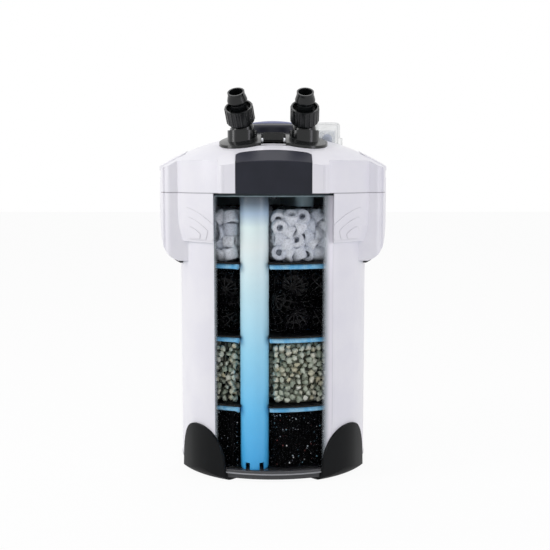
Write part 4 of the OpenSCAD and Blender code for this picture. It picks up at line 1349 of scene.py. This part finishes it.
@dataclass
class FilterMedia:
    """The four baskets' fillings, from carbon at the bottom to ceramic tubes."""

    ball_radius: float = 0.0166
    ball_count: int = 116
    tube_outer: float = 0.0088
    tube_length: float = 0.0135
    tube_wall: float = 0.0050
    tube_spacing: float = 0.0072
    tube_count: int = 700
    heap: float = 0.002
    sag: float = 0.0012
    core_inset: float = 0.015
    core_drop: float = 0.016

    def beds(self) -> list[MediaBed]:
        """Lists the two beds that are made of grains.

        Returns:
            The carbon and the gravel.
        """
        core = MouldedPlastic("core_dark", *shades("040405 060607 0a0a0b"), roughness=0.9, cell=0.003,
                              depth=0.0006, dust=0.0, gloss=0.04)
        # the gravel's core stands in for the stones deeper in the bed, in a darker copy of their colour as
        # painted shade
        under = MouldedPlastic("core_stone_shade", *shades("6c6e60 4c4e46 8a8c80"), roughness=0.9, cell=0.004,
                               depth=0.0008, dust=0.0)
        carbon = LooseMedia("carbon_grains", shades("020203 040506 090a0c"), roughness=0.42, pit=0.0006,
                            depth=0.0002, speck_share=0.34, speck_cell=0.0036, gloss=0.04,
                            specks=shades("f4f8fb c9d6dd 86b4c6 aab2be 8d5a58"),
                            hollow_shade=(0.0006, 0.0006, 0.0007))
        gravel = LooseMedia("gravel_stones", shades("949f8d bac3b2 d6dccd c3bd9e e8ebe0"), roughness=0.6,
                            pit=0.0016, depth=0.0002)
        return [
            MediaBed("carbon", 0.0040, carbon, core, 11, unevenness=0.85, round_level=1, smooth=False),
            MediaBed("gravel", 0.0098, gravel, under, 23, unevenness=0.9, spacing=0.66),
        ]

    def build(self) -> None:
        """Makes every filling and hands each to its basket."""
        grains = GrainTree()
        for bed in self.beds():
            bed.fill(grains)
        self.balls()
        self.tubes()

    def balls(self) -> None:
        """Packs the finned balls of the third basket."""
        low, high = span("bio_media")
        spots = settle(self.ball_count, self.ball_radius, self.ball_radius + 0.0004, low, high, seed=7)
        base = mesh_object("bio_spots", [tuple(p) for p in spots], [])
        finish = LooseMedia("bio_balls", shades("020202 040405 0a090d"), roughness=0.4, pit=0.004,
                            depth=0.00005, gloss=0.14, hollow_shade=(0.0006, 0.0006, 0.0006))
        piece = FinnedBallTree().grow(base, "bio_balls", {
            "Radius": self.ball_radius, "Fin": 0.0012, "Fins": 6, "Seed": 3, "Material": finish.build()})
        hand_over(piece, "bio_media", "bio_stack")

    def tubes(self) -> None:
        """Heaps the ceramic tubes of the top basket."""
        low, high = span("ceramic_media")[0] - self.sag, span("basket_ceramic")[1] + self.heap
        margin = math.hypot(self.tube_outer, self.tube_length / 2)
        spots = settle(self.tube_count, self.tube_spacing, margin, low, high, seed=19)
        base = mesh_object("tube_spots", [tuple(p) for p in spots], [])
        finish = LooseMedia("ceramic_tubes", shades("c3cad7 d6dce6 e7ebf2 cbd1dc"), roughness=0.75,
                            pit=0.0022, depth=0.00025)
        piece = RingTree().grow(base, "ceramic_tubes", {
            "Outer": self.tube_outer, "Wall": self.tube_wall, "Length": self.tube_length,
            "Sides": 16, "Seed": 5, "Material": finish.build()})
        for polygon in piece.data.polygons:
            polygon.use_smooth = True
        hand_over(piece, "ceramic_media", "ceramic_stack")
        # a slab behind the tubes stands in for the tubes deeper in the heap, in a darker copy of their colour
        # as painted shade
        core = slab("ceramic_core", BED_HALF - self.core_inset, PIPE.radius + self.core_inset,
                    low, high - self.core_drop, crown=0.0)
        pale = MouldedPlastic("core_pale_shade", *shades("aab0bc 8d93a0 c6ccd6"), roughness=0.9, cell=0.005,
                              depth=0.001, dust=0.0)
        core.data.materials.append(pale.build())
        hand_over(core, "ceramic_media", "ceramic_stack")


@dataclass
class SpongePads:
    """Three blue foam pads, one on top of each of the lower fillings."""

    crown: float = 0.0014
    bodies: tuple[tuple[str, str], ...] = (
        ("pad_lower", "carbon_stack"), ("pad_middle", "gravel_stack"), ("pad_upper", "bio_stack"))

    def build(self) -> None:
        """Makes the three pads, swollen a little between pinched rims."""
        foam = FilterSponge("sponge_blue", *shades("62b8ea a4daf5 3d8cc4")).build()
        for seed, (node, body) in enumerate(self.bodies, 1):
            low, high = span(node)
            pad = slab(node + "_foam", BED_HALF, PIPE.radius, low, high, self.crown, seed=seed)
            pad.data.materials.append(foam)
            hand_over(pad, node, body)


# -------------------------------------------------------- moulded parts


class Housing:
    """Finishes of the canister, the head and everything in them."""

    def table(self) -> list[tuple[str, Finish]]:
        """Lists the finish of each group of parts.

        Returns:
            Part names, parted by spaces, and their finish.
        """
        mould, one = MouldedPlastic, hex_colour
        white = {"roughness": 0.34, "depth": 0.00003, "corner": 0.0008, "dust": 0.02}
        broad = {"cell": 0.0009, "peel": 0.008}
        heights = (0.0, 0.21, 0.43, 0.65, 0.82, 0.89, 0.94, 0.975, 1.0)
        # the last, grey-blue stops paint the shade where the pipe runs up under the head
        blues = shades("40b4f6 6accff 9fe2ff d0f4ff f2ffff ecffff b5cfe6 6f7f8e 525c66")
        return [
            # white_shell paints a seam shadow, shade under the window and a lightened blue-grey inner wall
            ("canister_shell head_shell", ShellPlastic(
                "white_shell", *shades("eeedf3 e9e8f0 f8f8fb"), **white, **broad, wear=0.35, coat=0.15,
                inside=one("bccfd8"), seam_shadow=one("8d8b95"))),
            ("front_panel rear_panel", PanelPlastic(
                "slate_panel", *shades("20222b 252731 4a4b56"), roughness=0.42, depth=0.00003, gloss=0.22,
                dust=0.0, upper=one("2f303b"))),
            ("motor_cover", mould(
                "slate_plastic", *shades("1c1e2a 21232f 424453"), roughness=0.4, depth=0.00003,
                corner=0.0008, gloss=0.3, dust=0.0)),
            ("cap_left cap_right", mould("cap_white", *shades("eeedf3 e9e8f0 f8f8fb"), **white, **broad)),
            ("latch_left latch_right", LeverPlastic(
                "lever_two_tone", *shades("ecebf1 e6e5ed f6f6f9"), **white, grip=one("1d1e22"))),
            ("foot_front_left foot_front_right foot_rear_left foot_rear_right", mould(
                "satin_feet", *shades("07090b 0a0c0e 1e2225"), roughness=0.5, cell=0.0006, depth=0.00006,
                corner=0.0009, dust=0.0, gloss=0.14)),
            ("base_plinth", mould("plinth_grey", *shades("3c3c3e 353537 565658"), roughness=0.5)),
            ("base_rim", mould("rim_grey", *shades("a2a3a6 999a9d c2c3c5"), roughness=0.35)),
            ("basket_carbon basket_gravel basket_bio basket_ceramic", mould(
                "basket_black", *shades("07080a 0c0d10 1c1f22"), roughness=0.45, dust=0.0, gloss=0.2)),
            # painted light: the head's inner parts are a blue-grey lighter than the dim headspace would show
            # them
            ("head_deck motor_stator impeller_cover primer_cylinder inlet_duct outlet_duct", mould(
                "inner_grey", *shades("8fa3ab 98acb4 b0c2c9"), roughness=0.5, gloss=0.3)),
            ("valve_block valve_lever inlet_connector outlet_connector inlet_nut outlet_nut cable_gland "
             "impeller", mould(
                "fitting_black", *shades("101213 151718 3d4143"), roughness=0.2, cell=0.0007,
                depth=0.00002, corner=0.0006, dust=0.01, gloss=0.4, wear=0.6)),
            ("head_seal spigot_seals", mould(
                "seal_rubber", *shades("2c3439 343c41 444c51"), roughness=0.7, cell=0.0004,
                depth=0.00005, gloss=0.35)),
            ("deck_screws", MachinedMetal("dark_screw", one("3a3e43"), roughness=0.42)),
            ("pin_left pin_right valve_shaft primer_spring primer_plunger",
             MachinedMetal("spring_steel", one("c9cbd0"), roughness=0.24)),
            ("rotor_magnet", mould("ferrite", *shades("2b2b2d 343436 4a4a4c"), roughness=0.6)),
            ("rotor_shaft", mould("ceramic_spindle", *shades("7d878c 868f94 a3abaf"), roughness=0.3)),
            ("primer_button", mould(
                "button_blue", *shades("1a2f78 203784 40569e"), roughness=0.34, corner=0.0009,
                dust=0.0, gloss=0.35)),
            ("downpipe", PipePlastic(
                "pipe_frosted", one("8fcdf5"), body=0.95, roughness=0.3, sheen=0.0,
                stops=tuple(zip(heights, blues)))),
            # the smoke cap's dark grey rim colour paints shade along its grazing edges
            ("lamp_cap", ClearPlastic(
                "cap_smoke", one("cdd2d2"), body=0.1, sheen=0.9, rim=one("6c706c"))),
            ("lamp_sleeve", ClearPlastic("quartz_clear", one("e6f0fa"), body=0.16, roughness=0.03)),
            ("uv_lamp", mould("lamp_glass", *shades("c9cfe8 d6dbf0 eef0fa"), roughness=0.12)),
            ("lamp_socket", mould("socket_white", *shades("e4e4e2 dadad7 f2f2f0"), roughness=0.45)),
            ("front_window", WindowPlastic(
                "window_clear", one("c9d6dc"), body=0.001, sheen=0.05, frost=one("eceaf2"))),
        ]

    def dress(self, nodes: dict[str, Piece]) -> None:
        """Gives every fixed part its finish.

        Args:
            nodes: the fixed parts by name.
        """
        for names, finish in self.table():
            material = finish.build()
            for name in names.split():
                self.paint(nodes[name], material)
            LOG.info("%s on %s", material.name, names)

    @staticmethod
    def paint(part: Piece, material: Material) -> None:
        """Puts one material on every slot of a part.

        Args:
            part: the part.
            material: the material.
        """
        if not part.material_slots:
            part.data.materials.append(material)
        for each in part.material_slots:
            each.material = material


# ------------------------------------------------------------------- studio


@dataclass
class Studio:
    """Camera, lamps, floor and surroundings."""

    distance: float = 1.190
    eye: float = 0.3545
    side: float = -0.008
    yaw: float = -0.504
    focal_pixels: float = 960.0
    horizon: float = 174.5
    frame_pixels: float = 550.0
    world_level: float = 0.56

    def build(self) -> None:
        """Makes the whole studio."""
        self.camera()
        self.lamps()
        self.floor()
        self.world()

    def camera(self) -> None:
        """Sets the camera at the height and distance of the view."""
        data = bpy.data.cameras.new("studio_camera")
        data.sensor_width = 36.0
        data.lens = 36.0 * self.focal_pixels / self.frame_pixels
        camera = put_in_scene("studio_camera", data)
        camera.location = (self.side, -self.distance, self.eye)
        drop = math.atan((self.frame_pixels / 2 - self.horizon) / self.focal_pixels)
        camera.rotation_euler = Euler((math.pi / 2 - drop, 0, math.radians(self.yaw)))
        bpy.context.scene.camera = camera

    def lamps(self) -> None:
        """Adds three soft boxes: key at the left, fill at the right, one above."""
        boxes = (("key", (-1.55, -0.5, 0.95), 0.55, 1.3, 11.0, (1.0, 0.99, 1.0)),
                 ("fill", (1.3, -0.95, 0.65), 0.45, 1.2, 5.0, (0.92, 0.9, 1.0)),
                 ("top", (0.0, 0.1, 1.7), 1.2, 1.2, 5.0, (1.0, 1.0, 1.0)))
        for name, place, width, height, power, colour in boxes:
            data = bpy.data.lights.new(name, "AREA")
            data.shape, data.size, data.size_y, data.energy = "RECTANGLE", width, height, power
            data.color = colour
            lamp = put_in_scene(name, data)
            lamp.location = place
            lamp.rotation_euler = (Vector((0, 0, 0.24)) - Vector(place)).to_track_quat("-Z", "Y").to_euler()

    def floor(self) -> None:
        """Lays a plain pale floor that is bright to the eye and keeps a shadow."""
        floor = mesh_object("studio_floor", [(-6, -4, 0), (6, -4, 0), (6, 8, 0), (-6, 8, 0)], [(0, 1, 2, 3)])
        material = bpy.data.materials.new("studio_floor")
        material.use_nodes = True
        g = Graph(material.node_tree)
        shader = material.node_tree.nodes["Principled BSDF"]
        g.fill(shader, Base_Color=(0.86, 0.86, 0.86), Roughness=0.9, Specular_IOR_Level=0.1)
        glow = g.add("ShaderNodeEmission", Color=(1.0, 1.0, 1.0), Strength=1.0)
        blend = g.fill(g.add("ShaderNodeMixShader"), g.times(g.seen(), 0.94),
                       shader.outputs[0], glow.outputs[0])
        g.feed(material.node_tree.nodes["Material Output"], "Surface", blend.outputs[0])
        floor.data.materials.append(material)

    def world(self) -> None:
        """Surrounds the scene with even light, seen as plain white."""
        world = bpy.data.worlds.new("studio")
        world.use_nodes = True
        bpy.context.scene.world = world
        g = Graph(world.node_tree)
        back = world.node_tree.nodes["Background"]
        g.fill(back, Color=(1.0, 1.0, 1.0),
               Strength=g.math("MULTIPLY_ADD", g.seen(), 1.0 - self.world_level, self.world_level))


def main() -> None:
    """Builds and dresses the filter."""
    logging.basicConfig(level=logging.INFO, format="%(name)s: %(message)s")
    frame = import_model()
    scene = bpy.context.scene
    scene.view_settings.view_transform = "Standard"
    Studio().build()
    Housing().dress(frame["nodes"])
    SpongePads().build()
    FilterMedia().build()


if __name__ == "__main__":
    main()
